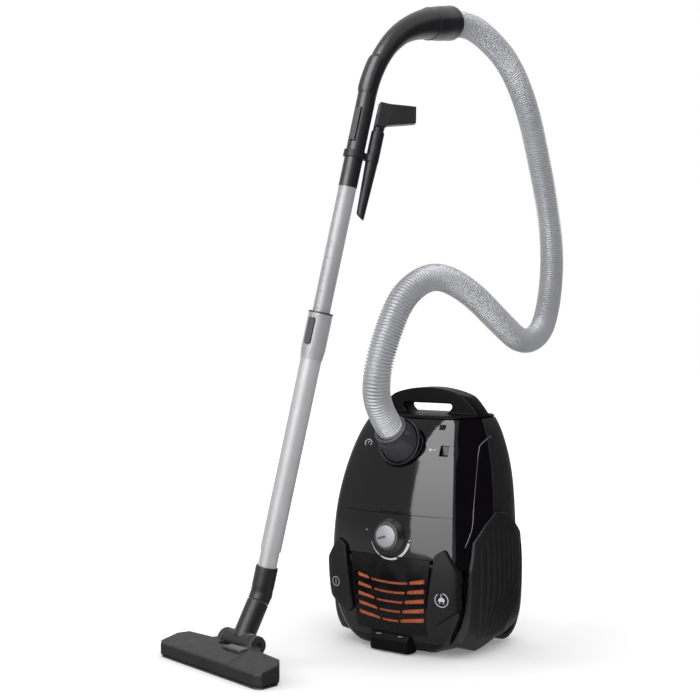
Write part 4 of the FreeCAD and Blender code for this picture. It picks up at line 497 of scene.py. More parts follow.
def make_finishes():
    """All the finishes, named as the record's slots are."""
    wand_turn = WAND_AXIS.to_track_quat("Z", "Y").to_euler()
    foam = Finish("orange_foam", (0.78, 0.17, 0.035), 0.85)
    foam.tint(foam.noise(420, 4), (0.42, 0.06, 0.012))
    foam.bump(foam.noise(700, 3), 0.0008)
    felt = Finish("filter_fabric", (0.8, 0.8, 0.77), 0.95)
    felt.tint(felt.noise(260, 5), (0.66, 0.66, 0.63))
    felt.bump(felt.noise(900, 4, (1, 0.2, 1)), 0.0004)
    paper = Finish("bag_paper", (0.74, 0.66, 0.52), 0.9)
    paper.tint(paper.noise(120, 6), (0.62, 0.54, 0.41))
    paper.bump(paper.noise(500, 4), 0.0002)
    board = Finish("board_green", (0.03, 0.2, 0.07), 0.35)
    board.tint(board.noise(200, 1), (0.02, 0.13, 0.05))
    return {
        "black_shell_gloss": polished("black_shell_gloss", (0.0036, 0.0031, 0.0042), 0.055,
                                      specular_IOR_level=0.24),
        "black_deck": polished("black_deck", (0.0045, 0.0042, 0.005), 0.26, specular_IOR_level=0.1),
        "deck_matt": moulded("deck_matt", (0.003, 0.0029, 0.0033), 0.42, specular_IOR_level=0.035),
        "grey_shell_matt": moulded("grey_shell_matt", (0.0125, 0.0125, 0.0128), 0.5, specular_IOR_level=0.18),
        "pedal_grey": moulded("pedal_grey", (0.0098, 0.0098, 0.0108), 0.46, specular_IOR_level=0.1),
        "housing_plastic": moulded("housing_plastic", (0.12, 0.12, 0.13), 0.55),
        "connector_grey": moulded("connector_grey", (0.036, 0.036, 0.041), 0.34, specular_IOR_level=0.35),
        "button_grey": moulded("button_grey", (0.055, 0.053, 0.054), 0.42, specular_IOR_level=0.35),
        "wheel_rubber": moulded("wheel_rubber", (0.014, 0.014, 0.0145), 0.8, 600, 0.0001,
                                specular_IOR_level=0.2),
        "steel": drawn_metal("steel", (0.55, 0.55, 0.56), 0.28, stretch=(0.05, 1, 1)),
        "rotor_metal": drawn_metal("rotor_metal", (0.34, 0.31, 0.28), 0.4),
        "orange_foam": foam.material,
        "flag_red": moulded("flag_red", (0.05, 0.045, 0.044), 0.4),
        "filter_fabric": felt.material,
        "bag_paper": paper.material,
        "seal_rubber": moulded("seal_rubber", (0.03, 0.03, 0.03), 0.75, 700),
        "knob_black": moulded("knob_black", (0.016, 0.0155, 0.016), 0.26, specular_IOR_level=0.45),
        "knob_silver": satin("knob_silver", (0.33, 0.33, 0.348), 0.42),
        "board_green": board.material,
        "hose_silver": moulded("hose_silver", (0.30, 0.302, 0.322), 0.34, 500, 0.00003,
                               specular_IOR_level=0.6),
        # Painted shade: a darker grey laid on the rows in the hose's grooves.
        "hose_groove_painted_shade": moulded("hose_groove_painted_shade", (0.07, 0.07, 0.077), 0.5, 500, 0.00003, specular_IOR_level=0.3),
        "handle_black": moulded("handle_black", (0.0125, 0.0125, 0.0142), 0.34, specular_IOR_level=0.3),
        "tool_black": moulded("tool_black", (0.0115, 0.0115, 0.013), 0.42, specular_IOR_level=0.16),
        "tube_silver": satin("tube_silver", (0.44, 0.44, 0.453), 0.48, wand_turn, (1, 1, 0.02)),
        "upper_silver": satin("upper_silver", (0.345, 0.345, 0.357), 0.46, wand_turn, (1, 1, 0.02)),
        "bush_plastic": moulded("bush_plastic", (0.5, 0.5, 0.5), 0.5),
        "sleeve_black": moulded("sleeve_black", (0.016, 0.016, 0.0175), 0.36, specular_IOR_level=0.35),
        "nozzle_grey": moulded("nozzle_grey", (0.0195, 0.0191, 0.0203), 0.5, specular_IOR_level=0.2),
        "neck_black": moulded("neck_black", (0.0125, 0.0122, 0.0135), 0.42, specular_IOR_level=0.22),
        # The sole's metal is darkened almost to black: painted shade for the shadow along the nozzle's lower
        # edge.
        "sole_metal": drawn_metal("sole_metal", (0.1, 0.1, 0.1), 0.4),
        "brush_bristle": moulded("brush_bristle", (0.02, 0.02, 0.02), 0.7),
        "print_pale": moulded("print_pale", (0.5, 0.5, 0.52), 0.5),
        # Light grey for the trim lines, and for the painted highlight dashes on the door latch.
        "trim_and_highlight_grey": moulded("trim_and_highlight_grey", (0.16, 0.16, 0.165), 0.35),
        "notch_grey": moulded("notch_grey", (0.23, 0.23, 0.235), 0.45),
        "print_dark": moulded("print_dark", (0.02, 0.02, 0.02), 0.5),
    }


# Hose.

def smooth_line(name, route):
    """Points read along the smooth spline that has the route's points as its control points."""
    curve = smooth_curve(name, route)
    curve.splines[0].resolution_u = 48
    mesh = mesh_of(curve)
    points = [vertex.co.copy() for vertex in mesh.vertices]
    bpy.data.meshes.remove(mesh)
    return points


def even_rings(points, distances):
    """A place and a steady cross axis at each distance along a line of points."""
    places = []
    travelled = 0
    index = 0
    for distance in distances:
        while index < len(points) - 2 and travelled + (points[index + 1] - points[index]).length < distance:
            travelled += (points[index + 1] - points[index]).length
            index += 1
        step = (points[index + 1] - points[index]).length
        places.append(points[index].lerp(points[index + 1], min(1, (distance - travelled) / step)))
    side = X_AXIS
    rings = []
    for number, place in enumerate(places):
        after = places[min(number + 1, len(places) - 1)]
        before = places[max(number - 1, 0)]
        direction = (after - before).normalized()
        side = (side - direction * side.dot(direction)).normalized()
        rings.append((place, side, direction.cross(side)))
    return rings


def ring_tube(mesh, rings, radii, sides):
    """Skins a tube through rings of given radius and returns its first and last ring."""
    loops = []
    for (place, side, up), radius in zip(rings, radii):
        loop = []
        for number in range(sides):
            angle = 2 * math.pi * number / sides
            loop.append(mesh.verts.new(place + (side * math.cos(angle) + up * math.sin(angle)) * radius))
        loops.append(loop)
    for low, high in zip(loops, loops[1:]):
        for number in range(sides):
            after = (number + 1) % sides
            mesh.faces.new((low[number], low[after], high[after], high[number]))
    return loops[0], loops[-1]


def make_hose(finishes):
    """The ribbed hose with its bore, plain where it sits in the two cuffs, with a darker material on the rows
    in its grooves as painted shade.
    """
    line = smooth_line("hose_line", HOSE_ROUTE)
    length = sum((after - before).length for before, after in zip(line, line[1:]))
    ribs = round((length - 2 * HOSE_PLAIN_END) / HOSE_RIB_PITCH)
    pitch = (length - 2 * HOSE_PLAIN_END) / ribs
    depth = HOSE_RADIUS - HOSE_ROOT_RADIUS
    plain = HOSE_RADIUS - HOSE_PLAIN_SINK
    outer = [(0, plain), (HOSE_PLAIN_END * 0.97, plain)]
    for rib in range(ribs):
        for share, sink in HOSE_PROFILE:
            outer.append((HOSE_PLAIN_END + (rib + share) * pitch, HOSE_RADIUS - depth * sink))
    outer += [(length - HOSE_PLAIN_END * 0.97, plain), (length, plain)]
    bore = [length * number / HOSE_BORE_STEPS for number in range(HOSE_BORE_STEPS + 1)]
    mesh = bmesh.new()
    first, last = ring_tube(mesh, even_rings(line, [d for d, _ in outer]), [r for _, r in outer], HOSE_SIDES)
    mesh.faces.index_update()
    # The groove rows get the darker second material: painted shade in the grooves.
    for face in mesh.faces:
        row = face.index // HOSE_SIDES - 2
        in_ribs = 0 <= row < len(HOSE_PROFILE) * ribs
        face.material_index = int(in_ribs and row % len(HOSE_PROFILE) in HOSE_PAINTED_SHADE_ROWS)
    bore_radii = [HOSE_BORE_RADIUS] * len(bore)
    inner_first, inner_last = ring_tube(mesh, even_rings(line, bore), bore_radii, HOSE_SIDES)
    for outside, inside in ((first, inner_first), (last, inner_last)):
        for number in range(HOSE_SIDES):
            after = (number + 1) % HOSE_SIDES
            mesh.faces.new((outside[number], outside[after], inside[after], inside[number]))
    bmesh.ops.recalc_face_normals(mesh, faces=mesh.faces)
    hose = dress(piece_from("ribbed_hose", mesh), finishes["hose_silver"])
    hose.data.materials.append(finishes["hose_groove_painted_shade"])
    hose.visible_glossy = False
    only(hose)
    bpy.ops.object.shade_smooth_by_angle(angle=math.radians(50))
    stand_for(hose, "hose")


# Canister.

def make_carry_handle(finishes):
    """The handle, with its arch drawn to one smooth curve."""
    handle = moulded_copy("carry_handle", finishes["deck_matt"], 0.0014, 8)
    for vertex in handle.data.vertices:
        limit = ARCH_TOP - ARCH_FALL * vertex.co.x ** 2
        if vertex.co.z > limit:
            vertex.co.z = limit
    apply_modifier(handle, "SMOOTH", factor=0.5, iterations=6)


def make_wheel_covers(finishes):
    """The two wheel covers with their curved grooves."""
    for side, node in ((1, "wheel_cover_right"), (-1, "wheel_cover_left")):
        cover = moulded_copy(node, finishes["grey_shell_matt"], 0.0013, 3)
        normals = [vertex.normal.x * side for vertex in cover.data.vertices]
        for vertex, facing in zip(cover.data.vertices, normals):
            if facing > 0.55:
                vertex.co.x -= side * flute_depth(vertex.co.y, vertex.co.z)


def flute_depth(y, z):
    """How deep the grooves are at a place on a wheel cover."""
    fall = min(1, max(0, (FLUTE_BEND_TOP - z) / FLUTE_BEND_HEIGHT))
    spread = 1 - FLUTE_CLOSING * fall * fall * (3 - 2 * fall)
    across = FLUTE_MEETING + (y - FLUTE_MEETING) / spread
    number = round((across - FLUTE_FIRST) / FLUTE_PITCH)
    if not 0 <= number < FLUTE_COUNT:
        return 0
    away = abs(across - FLUTE_FIRST - number * FLUTE_PITCH) * spread
    top = FLUTE_TOP - FLUTE_CROWN_SLOPE * max(0, abs(y - FLUTE_CROWN_Y) - FLUTE_CROWN_HALF)
    fade = min(1, max(0, (top - z) / FLUTE_FADE)) * min(1, max(0, (z - FLUTE_BOTTOM) / FLUTE_FADE))
    return fade * FLUTE_DEPTH * max(0, 1 - away / FLUTE_HALF_WIDTH)


def make_pedals(finishes):
    """The two pedals with their signs."""
    power = moulded_copy("power_pedal", finishes["pedal_grey"], 0.0011, 7)
    cord = moulded_copy("cord_pedal", finishes["pedal_grey"], 0.0011, 7)
    x, z = POWER_SIGN
    ring = band(POWER_SIGN, 0.0074, 0.0010, 0, 2 * math.pi)
    stroke = bar(x, z - 0.0042, x, z + 0.0042, 0.0010)
    printed("power_sign", [ring, stroke], surface_of(power), "power_pedal", finishes)
    x, z = CORD_SIGN
    ring = band(CORD_SIGN, 0.0108, 0.0013, math.radians(125), math.radians(440), 60)
    dome = [[(x - 0.0060 + 0.0120 * step / 12, z - 0.0022) for step in range(13)],
            [(x - 0.0060 * math.cos(math.pi * step / 12), z - 0.0022 + 0.0066 * math.sin(math.pi * step / 12))
             for step in range(13)]]
    prongs = [bar(x + shift, z - 0.0022, x + shift, z - 0.0062, 0.0012, 3) for shift in (-0.0032, 0.0032)]
    tail = bar(x, z + 0.0040, x - 0.0012, z + 0.0105, 0.0012, 4)
    printed("cord_sign", [ring, dome, tail] + prongs, surface_of(cord), "cord_pedal", finishes)


def make_front_signs(finishes):
    """The knob's scale and marks, and the small signs by the inlet and the bag window."""
    panel = surface_of(NODES["control_panel"])
    middle = (0, KNOB_MIDDLE.z)
    scale = band(middle, SCALE_RADIUS, SCALE_WIDTH[0], SCALE_START, SCALE_END, 96, SCALE_WIDTH[1])
    dot = band((0.040, 0.1955), 0.0001, 0.0014, 0, 2 * math.pi, 16)
    least = bar(-0.049, 0.2065, -0.045, 0.2065, 0.0010, 3)
    printed("knob_scale", [scale, dot, least], panel, "canister", finishes, above=PANEL_BOTTOM)
    door = surface_of(NODES["exhaust_door"])
    printed("knob_scale_on_door", [scale], door, "exhaust_door", finishes, below=DOOR_TOP)
    lid = surface_of(NODES["dust_lid"])
    x, z = HOSE_SIGN
    dome = band(HOSE_SIGN, 0.0070, SIGN_LINE, math.radians(5), math.radians(175), 32)
    feet = [bar(x + side * 0.0076, z, x + side * 0.0045, z - 0.0016, SIGN_LINE, 2) for side in (-1, 1)]
    pipe = bar(x, z + 0.0005, x + 0.0015, z + 0.0050, SIGN_LINE, 3)
    printed("hose_sign", [dome, pipe] + feet, lid, "dust_lid", finishes)
    x, z = BAG_SIGN
    head = [[(x - 0.0045, z - 0.0001), (x, z - 0.0030)], [(x - 0.0044, z), (x, z + 0.0030)]]
    printed("bag_sign", [head, bar(x, z, x + 0.0090, z, 0.0009)], lid, "dust_lid", finishes)


def make_knob(finishes):
    """The knob with rounded edges, and the pointer across its face."""
    bevelled_copy("power_knob", finishes["knob_black"], 0.0012)
    bevelled_copy("knob_face", finishes["knob_silver"], 0.0003, 2)
    bpy.ops.mesh.primitive_cube_add(size=1)
    pointer = bpy.context.object
    pointer.name = "knob_pointer"
    turn = KNOB_AXIS.to_track_quat("Y", "Z").to_matrix().to_4x4()
    lean = Matrix.Rotation(POINTER_LEAN, 4, "Y")
    size = Matrix.Diagonal((*POINTER_SIZE, 1))
    shift = Matrix.Translation((POINTER_SIZE[0] / 2, 0, 0))
    place = Matrix.Translation(KNOB_MIDDLE + KNOB_AXIS * (KNOB_HEIGHT + 0.0011))
    pointer.data.transform(place @ turn @ lean @ shift @ size)
    apply_modifier(pointer, "BEVEL", width=0.0004, segments=2)
    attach(pointer, "power_knob")
    dress(pointer, finishes["print_dark"])


def ring_about(name, middle, axis, radius, width, height, finish, body):
    """A rounded ring about an axis."""
    bpy.ops.mesh.primitive_torus_add(major_radius=radius, minor_radius=width / 2,
                                     major_segments=96, minor_segments=16)
    ring = bpy.context.object
    ring.name = name
    turn = axis.to_track_quat("Z", "Y").to_matrix().to_4x4()
    ring.data.transform(Matrix.Translation(middle) @ turn @ Matrix.Diagonal((1, 1, height / width, 1)))
    bpy.ops.object.shade_smooth()
    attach(ring, body)
    return dress(ring, finish)


def make_trim(finishes):
    """The thin light line let into each glossy side."""
    for side, node in ((1, "side_panel_right"), (-1, "side_panel_left")):
        tree = surface_of(NODES[node], NODES["rear_shell"], NODES["control_panel"])
        inward = Vector((-side, 0, 0))
        curve = smooth_curve("trim", [touch(tree, Vector((side * 0.13, y, z)), inward) for y, z in TRIM_LINE])
        curve.bevel_depth = TRIM_RADIUS
        curve.bevel_resolution = 2
        name = "trim_line_" + ("right" if side > 0 else "left")
        trim = dress(new_piece(name, mesh_of(curve)), finishes["trim_and_highlight_grey"])
        only(trim)
        bpy.ops.object.shade_smooth()
        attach(trim, "canister")


def make_door_latch(finishes):
    """The tab under the exhaust door, with two short light dashes on it that are painted highlights for the
    light caught in its grip recesses.
    """
    latch = moulded_copy("door_latch", finishes["deck_matt"], 0.0012, 12)
    # The two light dashes are painted highlights, not print.
    dashes = []
    for side in (-1, 1):
        x, z = side * LATCH_PAINTED_HIGHLIGHT[0], LATCH_PAINTED_HIGHLIGHT[1]
        dashes.append(bar(x - 0.0045, z - 0.0003, x + 0.0045, z + 0.0003, SIGN_LINE, 3))
    printed("latch_painted_highlights", dashes, surface_of(latch), "door_latch", finishes, finish="trim_and_highlight_grey")


# Soft pieces.

def make_foam(finishes):
    """The orange filter foam behind the grille, open-pored and a little uneven."""
    foam = moulded_copy("exhaust_foam", finishes["orange_foam"], 0.0024, 3)
    for vertex in foam.data.vertices:
        pores = noise.noise(vertex.co * 420) + 0.6 * noise.noise(vertex.co * 900)
        vertex.co += vertex.normal * (0.00045 * pores - 0.0003)


def make_filter(finishes):
    """The felt filter under the bag, crowned and pressed flat along its edge."""
    low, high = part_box("motor_filter")
    middle = (low + high) / 2
    size = high - low
    bpy.ops.mesh.primitive_cube_add(size=1, location=(0, 0, 0))
    pad = bpy.context.object
    pad.name = "motor_filter_felt"
    bpy.ops.object.mode_set(mode="EDIT")
    bpy.ops.mesh.subdivide(number_cuts=23)
    bpy.ops.object.mode_set(mode="OBJECT")
    for vertex in pad.data.vertices:
        x, y, z = vertex.co
        edge = max(abs(x), abs(y)) * 2
        crown = 1 - 0.55 * max(0, (edge - 0.78) / 0.22) ** 2
        fuzz = 0.00025 * noise.noise(Vector((x, y, z)) * 30)
        place = Vector((x * size.x, y * size.y, (z + 0.5) * size.z * crown - size.z / 2))
        vertex.co = middle + place * 0.995 + Vector((fuzz, fuzz, 0))
    bpy.ops.object.shade_smooth()
    stand_for(pad, "motor_filter")
    dress(pad, finishes["filter_fabric"])


def make_dust_bag(finishes):
    """The paper bag, slack between its stiff corners, with folds drawn in along its sides."""
    bag = moulded_copy("dust_bag", finishes["bag_paper"], 0.0040, 8)
    low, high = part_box("dust_bag")
    middle = (low + high) / 2
    half = (high - low) / 2
    for vertex in bag.data.vertices:
        share = [(vertex.co[i] - middle[i]) / half[i] for i in range(3)]
        pleat = abs(share[0]) ** 6 * math.exp(-(share[2] / 0.28) ** 2)
        crease = 0.0012 * noise.noise(vertex.co * 38) + 0.0008 * noise.noise(vertex.co * 90)
        vertex.co += vertex.normal * (crease - 0.0016)
        vertex.co.x -= math.copysign(0.011 * pleat, share[0])


def make_brush(finishes):
    """The brush strip: its carrier and a row of bristle tufts."""
    turn = Matrix.Translation(NOZZLE_MIDDLE) @ Matrix.Rotation(NOZZLE_TURN, 4, "Z")
    mesh = bmesh.new()
    base = bmesh.ops.create_cube(mesh, size=1)["verts"]
    carrier = Matrix.Translation(BRUSH_MIDDLE) @ Matrix.Diagonal((*BRUSH_SIZE, 1))
    bmesh.ops.transform(mesh, matrix=carrier, verts=base)
    bmesh.ops.bevel(mesh, geom=mesh.edges[:], offset=0.0006, segments=2, affect="EDGES")
    for number in range(TUFT_COUNT):
        x = TUFT_FIRST + TUFT_SPAN * number / (TUFT_COUNT - 1)
        for row in (-0.0008, 0.0008):
            tuft = bmesh.ops.create_cone(mesh, cap_ends=True, segments=7,
                                         radius1=0.0013, radius2=0.0007, depth=0.0052)
            lean = Matrix.Rotation(6 * row + 0.08 * math.sin(number * 2.4), 4, "X")
            place = Matrix.Translation((x, BRUSH_MIDDLE.y + row, 0.0041))
            downwards = Matrix.Rotation(math.pi, 4, "X")
            bmesh.ops.transform(mesh, matrix=place @ lean @ downwards, verts=tuft["verts"])
    brush = piece_from("brush_tufts", mesh)
    brush.data.transform(turn)
    only(brush)
    bpy.ops.object.shade_smooth_by_angle(angle=math.radians(40))
    dress(brush, finishes["brush_bristle"])
    stand_for(brush, "brush_strip")


# Wand and nozzle.

def make_wand(finishes):
    """The moulded pieces of the wand, with their edges rounded. Its tubes stay out of the shell's gloss."""
    button = moulded_copy("release_button", finishes["handle_black"], 0.0007, 4)
    for vertex in button.data.vertices:
        if vertex.normal.dot(WAND_Y) < -0.35:
            vertex.co -= WAND_Y * 0.0012
    moulded_copy("tool_clip", finishes["tool_black"], 0.0007, 4)
    sleeve = dress(NODES["lock_sleeve"], finishes["upper_silver"])
    dress(NODES["upper_tube"], finishes["upper_silver"])
    ring = ring_about("sleeve_ring", WAND_FOOT + WAND_AXIS * SLEEVE_TOP, WAND_AXIS, SLEEVE_RADIUS - 0.001,
                      WAND_RING, WAND_RING, finishes["sleeve_black"], "lower_tube")
    aside = CUFF_AXIS.cross(X_AXIS).normalized()
    tree = surface_of(NODES["handle"])
    ends = [tree.ray_cast(CUFF_EDGE + way * 0.06, -way)[0] for way in (aside, -aside)]
    ring_about("cuff_edge", (ends[0] + ends[1]) / 2, CUFF_AXIS, (ends[0] - ends[1]).length / 2 - 0.0006,
               *CUFF_RING, finishes["handle_black"], "handle")
    elbow = moulded_copy("neck_elbow", finishes["neck_black"], 0.0011, 24)
    neck = moulded_copy("neck_lower", finishes["neck_black"], 0.0011, 8)
    for piece in (sleeve, ring, elbow, neck, NODES["upper_tube"], NODES["lower_tube"], NODES["lock_button"]):
        piece.visible_glossy = False


def make_tool(finishes):
    """The accessory tool, whose flat head narrows and rises towards its outer end."""
    tool = moulded_copy("accessory_tool", finishes["tool_black"], 0.0010, 6)
    cross = WAND_AXIS.cross(TOOL_OUT)
    for vertex in tool.data.vertices:
        place = vertex.co - WAND_FOOT - WAND_X * TOOL_X - WAND_Y * TOOL_Y
        along, out, aside = place.dot(WAND_AXIS), place.dot(TOOL_OUT), place.dot(cross)
        if along < HEAD_BOTTOM or out < HEAD_START:
            continue
        share = min(1, (out - HEAD_START) / HEAD_LENGTH)
        depth = HEAD_TOP - along
        thinning = depth * (HEAD_THINNING[0] + HEAD_THINNING[1] * share)
        move = WAND_AXIS * (thinning + HEAD_RISE * (out - HEAD_START))
        move += TOOL_OUT * (HEAD_SLANT * depth - HEAD_SHORTENING) * share
        vertex.co += move - cross * aside * HEAD_TAPER * share
    apply_modifier(tool, "SMOOTH", factor=0.5, iterations=10)


def bend_point(angle, turn, radius):
    """A place on the handle's bend: so far round it, turned about its middle line, at a radius."""
    middle = WAND_FOOT + WAND_AXIS * BEND_START + WAND_Y * BEND_RADIUS
    outward = WAND_AXIS * math.sin(angle) - WAND_Y * math.cos(angle)
    return middle + outward * (BEND_RADIUS + radius * math.cos(turn)) + WAND_X * radius * math.sin(turn)


def make_air_slider(finishes):
    """The air slider, a low saddle over the outer side of the bend."""
    tree = surface_of(NODES["handle"])
    mesh = bmesh.new()
    rows = []
    for step in range(25):
        share = -1 + step / 12
        angle = SLIDER_START + (SLIDER_END - SLIDER_START) * (share + 1) / 2
        start, end = bend_point(angle, SLIDER_SPREAD, 0.05), bend_point(angle, SLIDER_SPREAD, 0)
        radius = (tree.ray_cast(start, (end - start).normalized())[0] - end).length
        spread = SLIDER_SPREAD * (1 - 0.16 * abs(share) ** 5)
        row = []
        for number in range(25):
            turn = -1 + number / 12
            lift = SLIDER_LIFT * (1 - abs(share) ** 10) * (1 - abs(turn) ** 10)
            row.append(mesh.verts.new(bend_point(angle, turn * spread, radius - 0.0004 + lift)))
        rows.append(row)
    for low, high in zip(rows, rows[1:]):
        for number in range(24):
            mesh.faces.new((low[number], low[number + 1], high[number + 1], high[number]))
    saddle = dress(piece_from("air_slider_saddle", mesh), finishes["handle_black"])
    apply_modifier(saddle, "SOLIDIFY", thickness=0.0010, offset=0)
    in_edit_mode(saddle, bpy.ops.mesh.normals_make_consistent, inside=False)
    bpy.ops.object.shade_smooth_by_angle(angle=math.radians(50))
    stand_for(saddle, "air_slider")


def make_notches(finishes):
    """The row of notches on the upper tube that the length lock drops into."""
    mesh = bmesh.new()
    for number in range(NOTCH_COUNT):
        middle = WAND_FOOT + WAND_AXIS * (NOTCH_FIRST + number * NOTCH_PITCH)
        rows = [[], []]
        for step in range(13):
            share = -1 + step / 6
            outward = -WAND_Y * math.cos(share * NOTCH_SPREAD) + WAND_X * math.sin(share * NOTCH_SPREAD)
            for row, level in zip(rows, (-0.5, 0.5)):
                height = level * NOTCH_HEIGHT * math.sqrt(1.02 - share * share)
                row.append(mesh.verts.new(middle + WAND_AXIS * height + outward * (TUBE_RADIUS + 0.00006)))
        for step in range(12):
            mesh.faces.new((rows[0][step], rows[0][step + 1], rows[1][step + 1], rows[1][step]))
    notches = dress(piece_from("tube_notches", mesh), finishes["notch_grey"])
    apply_modifier(notches, "SOLIDIFY", thickness=0.00012, offset=0)
    in_edit_mode(notches, bpy.ops.mesh.normals_make_consistent, inside=False)
    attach(notches, "handle")


def make_nozzle(finishes):
    """The nozzle's hood with its raised middle panel, and its rocker."""
    hood = moulded_copy("nozzle_body", finishes["nozzle_grey"], 0.0016, 6)
    back = (Matrix.Translation(NOZZLE_MIDDLE) @ Matrix.Rotation(NOZZLE_TURN, 4, "Z")).inverted()
    for vertex in hood.data.vertices:
        if vertex.normal.z < 0.5:
            continue
        place = back @ vertex.co
        if inside(PANEL_OUTLINE, place.x, place.y) and place.z > 0.018:
            vertex.co.z += PANEL_RISE
    moulded_copy("nozzle_pedal", finishes["button_grey"], 0.0007, 4)


def inside(outline, x, y):
    """Whether a place lies in a convex outline that runs clockwise."""
    for (x0, y0), (x1, y1) in zip(outline, outline[1:] + outline[:1]):
        if (x1 - x0) * (y - y0) - (y1 - y0) * (x - x0) > 0:
            return False
    return True


# Room, light and camera.

def white_where_seen(tree, plain, bright):
    """Mixes two shaders so that the camera, glossy and clear surfaces see the bright one."""
    path = tree.nodes.new("ShaderNodeLightPath")
    seen = path.outputs["Is Camera Ray"]
    for name in ("Is Glossy Ray", "Is Transmission Ray"):
        either = tree.nodes.new("ShaderNodeMath")
        either.operation = "MAXIMUM"
        tree.links.new(seen, either.inputs[0])
        tree.links.new(path.outputs[name], either.inputs[1])
        seen = either.outputs[0]
    mix = tree.nodes.new("ShaderNodeMixShader")
    tree.links.new(seen, mix.inputs["Fac"])
    tree.links.new(plain, mix.inputs[1])
    tree.links.new(bright, mix.inputs[2])
    return mix.outputs["Shader"]


def make_room():
    """A white floor and an even white world."""
    world = bpy.data.worlds.new("studio")
    bpy.context.scene.world = world
    world.use_nodes = True
    tree = world.node_tree
    tree.nodes["Background"].inputs["Strength"].default_value = WORLD_LIGHT
    tree.nodes["Background"].inputs["Color"].default_value = (1, 1, 1, 1)
    bright = tree.nodes.new("ShaderNodeBackground")
    bright.inputs["Color"].default_value = (1, 1, 1, 1)
    shader = white_where_seen(tree, tree.nodes["Background"].outputs[0], bright.outputs[0])
    tree.links.new(shader, tree.nodes["World Output"].inputs["Surface"])
    bpy.ops.mesh.primitive_circle_add(vertices=96, radius=12, fill_type="NGON")
    floor = bpy.context.object
    floor.name = "floor"
    dress(floor, floor_white())


def floor_white():
    """A matt white floor that turns to plain white further out, where it is seen."""
    material = bpy.data.materials.new("floor_white")
    material.use_nodes = True
    tree = material.node_tree
    shader = tree.nodes["Principled BSDF"]
    shader.inputs["Base Color"].default_value = (0.93, 0.93, 0.93, 1)
    shader.inputs["Roughness"].default_value = 0.7
    shader.inputs["Specular IOR Level"].default_value = 0.1
    glow = tree.nodes.new("ShaderNodeEmission")
    place = tree.nodes.new("ShaderNodeTexCoord")
    reach = tree.nodes.new("ShaderNodeVectorMath")
    reach.operation = "LENGTH"
    tree.links.new(place.outputs["Object"], reach.inputs[0])
    rise = tree.nodes.new("ShaderNodeMapRange")
    rise.interpolation_type = "SMOOTHSTEP"
    for name, value in FLOOR_GLOW.items():
        rise.inputs[name].default_value = value
    tree.links.new(reach.outputs["Value"], rise.inputs["Value"])
    tree.links.new(rise.outputs["Result"], glow.inputs["Strength"])
    both = tree.nodes.new("ShaderNodeAddShader")
    tree.links.new(shader.outputs[0], both.inputs[0])
    tree.links.new(glow.outputs[0], both.inputs[1])
    seen = white_where_seen(tree, shader.outputs[0], both.outputs[0])
    tree.links.new(seen, tree.nodes["Material Output"].inputs["Surface"])
    return material


def window_card():
    """The tall window that shows in the glossy front: wider towards its top and a little dimmer low down."""
    window = card("window_card", (0, WINDOW_Y, 0), (0, 1, 0), 1, 1, WINDOW_GLOW, WINDOW_LOW_GLOW)
    corners = [(side, z) for z in (WINDOW_LOW, WINDOW_HIGH) for side in (-1, 1)]
    for vertex, (side, z) in zip(sorted(window.data.vertices, key=lambda v: (v.co.z, v.co.x)), corners):
        edge = WINDOW_LEFT - WINDOW_LEFT_SPREAD * z if side < 0 else WINDOW_RIGHT + WINDOW_RIGHT_SPREAD * z
        vertex.co = (edge, WINDOW_Y, z)


def card(name, place, facing, width, height, strength, low_strength=None):
    """A flat studio card, black where it has no strength, that shows only in glossy surfaces."""
    bpy.ops.mesh.primitive_plane_add(size=1)
    sheet = bpy.context.object
    sheet.name = name
    turn = Vector(facing).to_track_quat("Z", "Y").to_matrix().to_4x4()
    sheet.data.transform(Matrix.Translation(place) @ turn @ Matrix.Diagonal((width, height, 1, 1)))
    material = bpy.data.materials.new(name)
    material.use_nodes = True
    tree = material.node_tree
    glow = tree.nodes.new("ShaderNodeEmission")
    glow.inputs["Strength"].default_value = strength
    if low_strength:
        place = tree.nodes.new("ShaderNodeTexCoord")
        height = tree.nodes.new("ShaderNodeSeparateXYZ")
        tree.links.new(place.outputs["Object"], height.inputs["Vector"])
        rise = tree.nodes.new("ShaderNodeMapRange")
        rise.inputs["From Max"].default_value = 1.3
        rise.inputs["To Min"].default_value = low_strength
        rise.inputs["To Max"].default_value = strength
        tree.links.new(height.outputs["Z"], rise.inputs["Value"])
        tree.links.new(rise.outputs["Result"], glow.inputs["Strength"])
    tree.links.new(glow.outputs[0], tree.nodes["Material Output"].inputs["Surface"])
    dress(sheet, material)
    sheet.visible_camera = False
    sheet.visible_diffuse = False
    sheet.visible_shadow = False
    sheet.visible_transmission = False
    return sheet


def area_light(name, place, target, width, height, power):
    """A soft box that faces a point."""
    data = bpy.data.lights.new(name, "AREA")
    data.shape = "RECTANGLE"
    data.size = width
    data.size_y = height
    data.energy = power
    light = new_piece(name, data)
    light.visible_glossy = False
    light.location = place
    light.rotation_euler = (Vector(target) - Vector(place)).to_track_quat("-Z", "Y").to_euler()


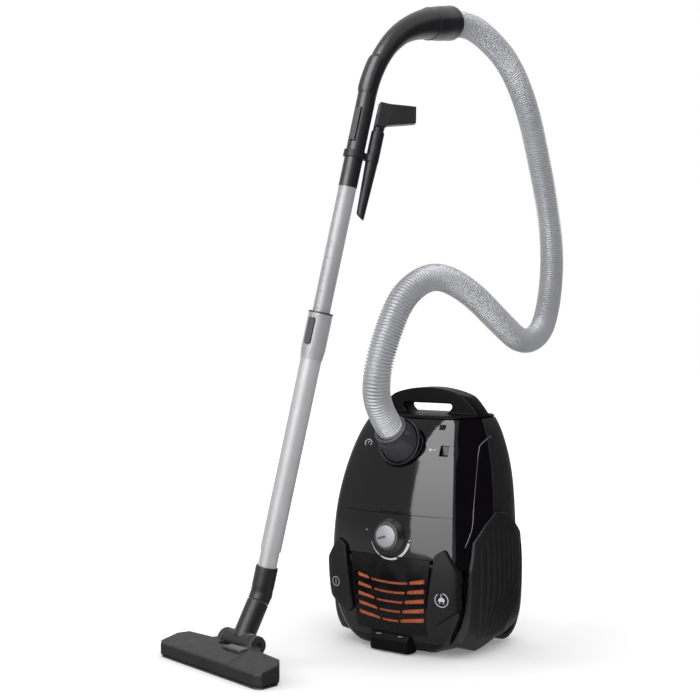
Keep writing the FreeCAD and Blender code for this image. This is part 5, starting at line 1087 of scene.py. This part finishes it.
def make_lights():
    """Three soft boxes, and the cards that the glossy shell shows: a bright window and black ones."""
    area_light("soft_box_right", (1.9, -1.35, 1.25), (0, 0, 0.3), 0.9, 1.3, 9)
    area_light("soft_box_left", (-2.2, -1.4, 1.7), (0, 0, 0.5), 1.2, 1.2, 13)
    area_light("soft_box_over", (0.1, 0.3, 2.9), (0, 0, 0.4), 2.4, 2.0, 24)
    window_card()
    card("black_side_card", (0.95, -0.42, 0.5), (-0.9, 0.43, 0), 0.9, 1.0, 0)
    card("black_card", (0.68, 0.40, 0.75), (-0.82, -0.57, 0), 1.5, 1.5, 0)
    card("black_floor_card", (0.62, 0.43, 0.002), (0, 0, 1), 0.9, 0.9, 0)
    card("black_front_card", (-0.10, -0.78, 0.002), (0, 0, 1), 1.5, 1.0, 0)


def make_camera():
    """The camera at the photograph's place."""
    data = bpy.data.cameras.new("camera")
    data.lens = LENS
    data.sensor_width = 36
    camera = new_piece("camera", data)
    camera.location = EYE
    camera.rotation_euler = (math.pi / 2 - CAMERA_DIP, 0, CAMERA_TURN)
    bpy.context.scene.camera = camera


# Assembly.

def dress_nodes(finishes):
    """Gives every node the finish of its slot."""
    for part in frame["record"]["subparts"]:
        dress(NODES[part["node"]], finishes[part["material_slot"]])


FINISHES = make_finishes()
dress_nodes(FINISHES)
dress(NODES["base_tray"], FINISHES["black_deck"])
dress(NODES["lid_latch"], FINISHES["black_shell_gloss"])
dress(NODES["lock_button"], FINISHES["sleeve_black"])
make_hose(FINISHES)
make_carry_handle(FINISHES)
make_wheel_covers(FINISHES)
make_pedals(FINISHES)
make_front_signs(FINISHES)
make_knob(FINISHES)
ring_about("inlet_ring", INLET, INLET_NORMAL, *INLET_RING, FINISHES["black_deck"], "canister")
moulded_copy("hose_connector", FINISHES["connector_grey"], 0.0012, 6)
make_trim(FINISHES)
make_door_latch(FINISHES)
make_foam(FINISHES)
make_filter(FINISHES)
make_dust_bag(FINISHES)
make_brush(FINISHES)
make_wand(FINISHES)
make_tool(FINISHES)
make_air_slider(FINISHES)
make_notches(FINISHES)
make_nozzle(FINISHES)
make_room()
make_lights()
make_camera()
bpy.context.scene.view_settings.view_transform = "Standard"
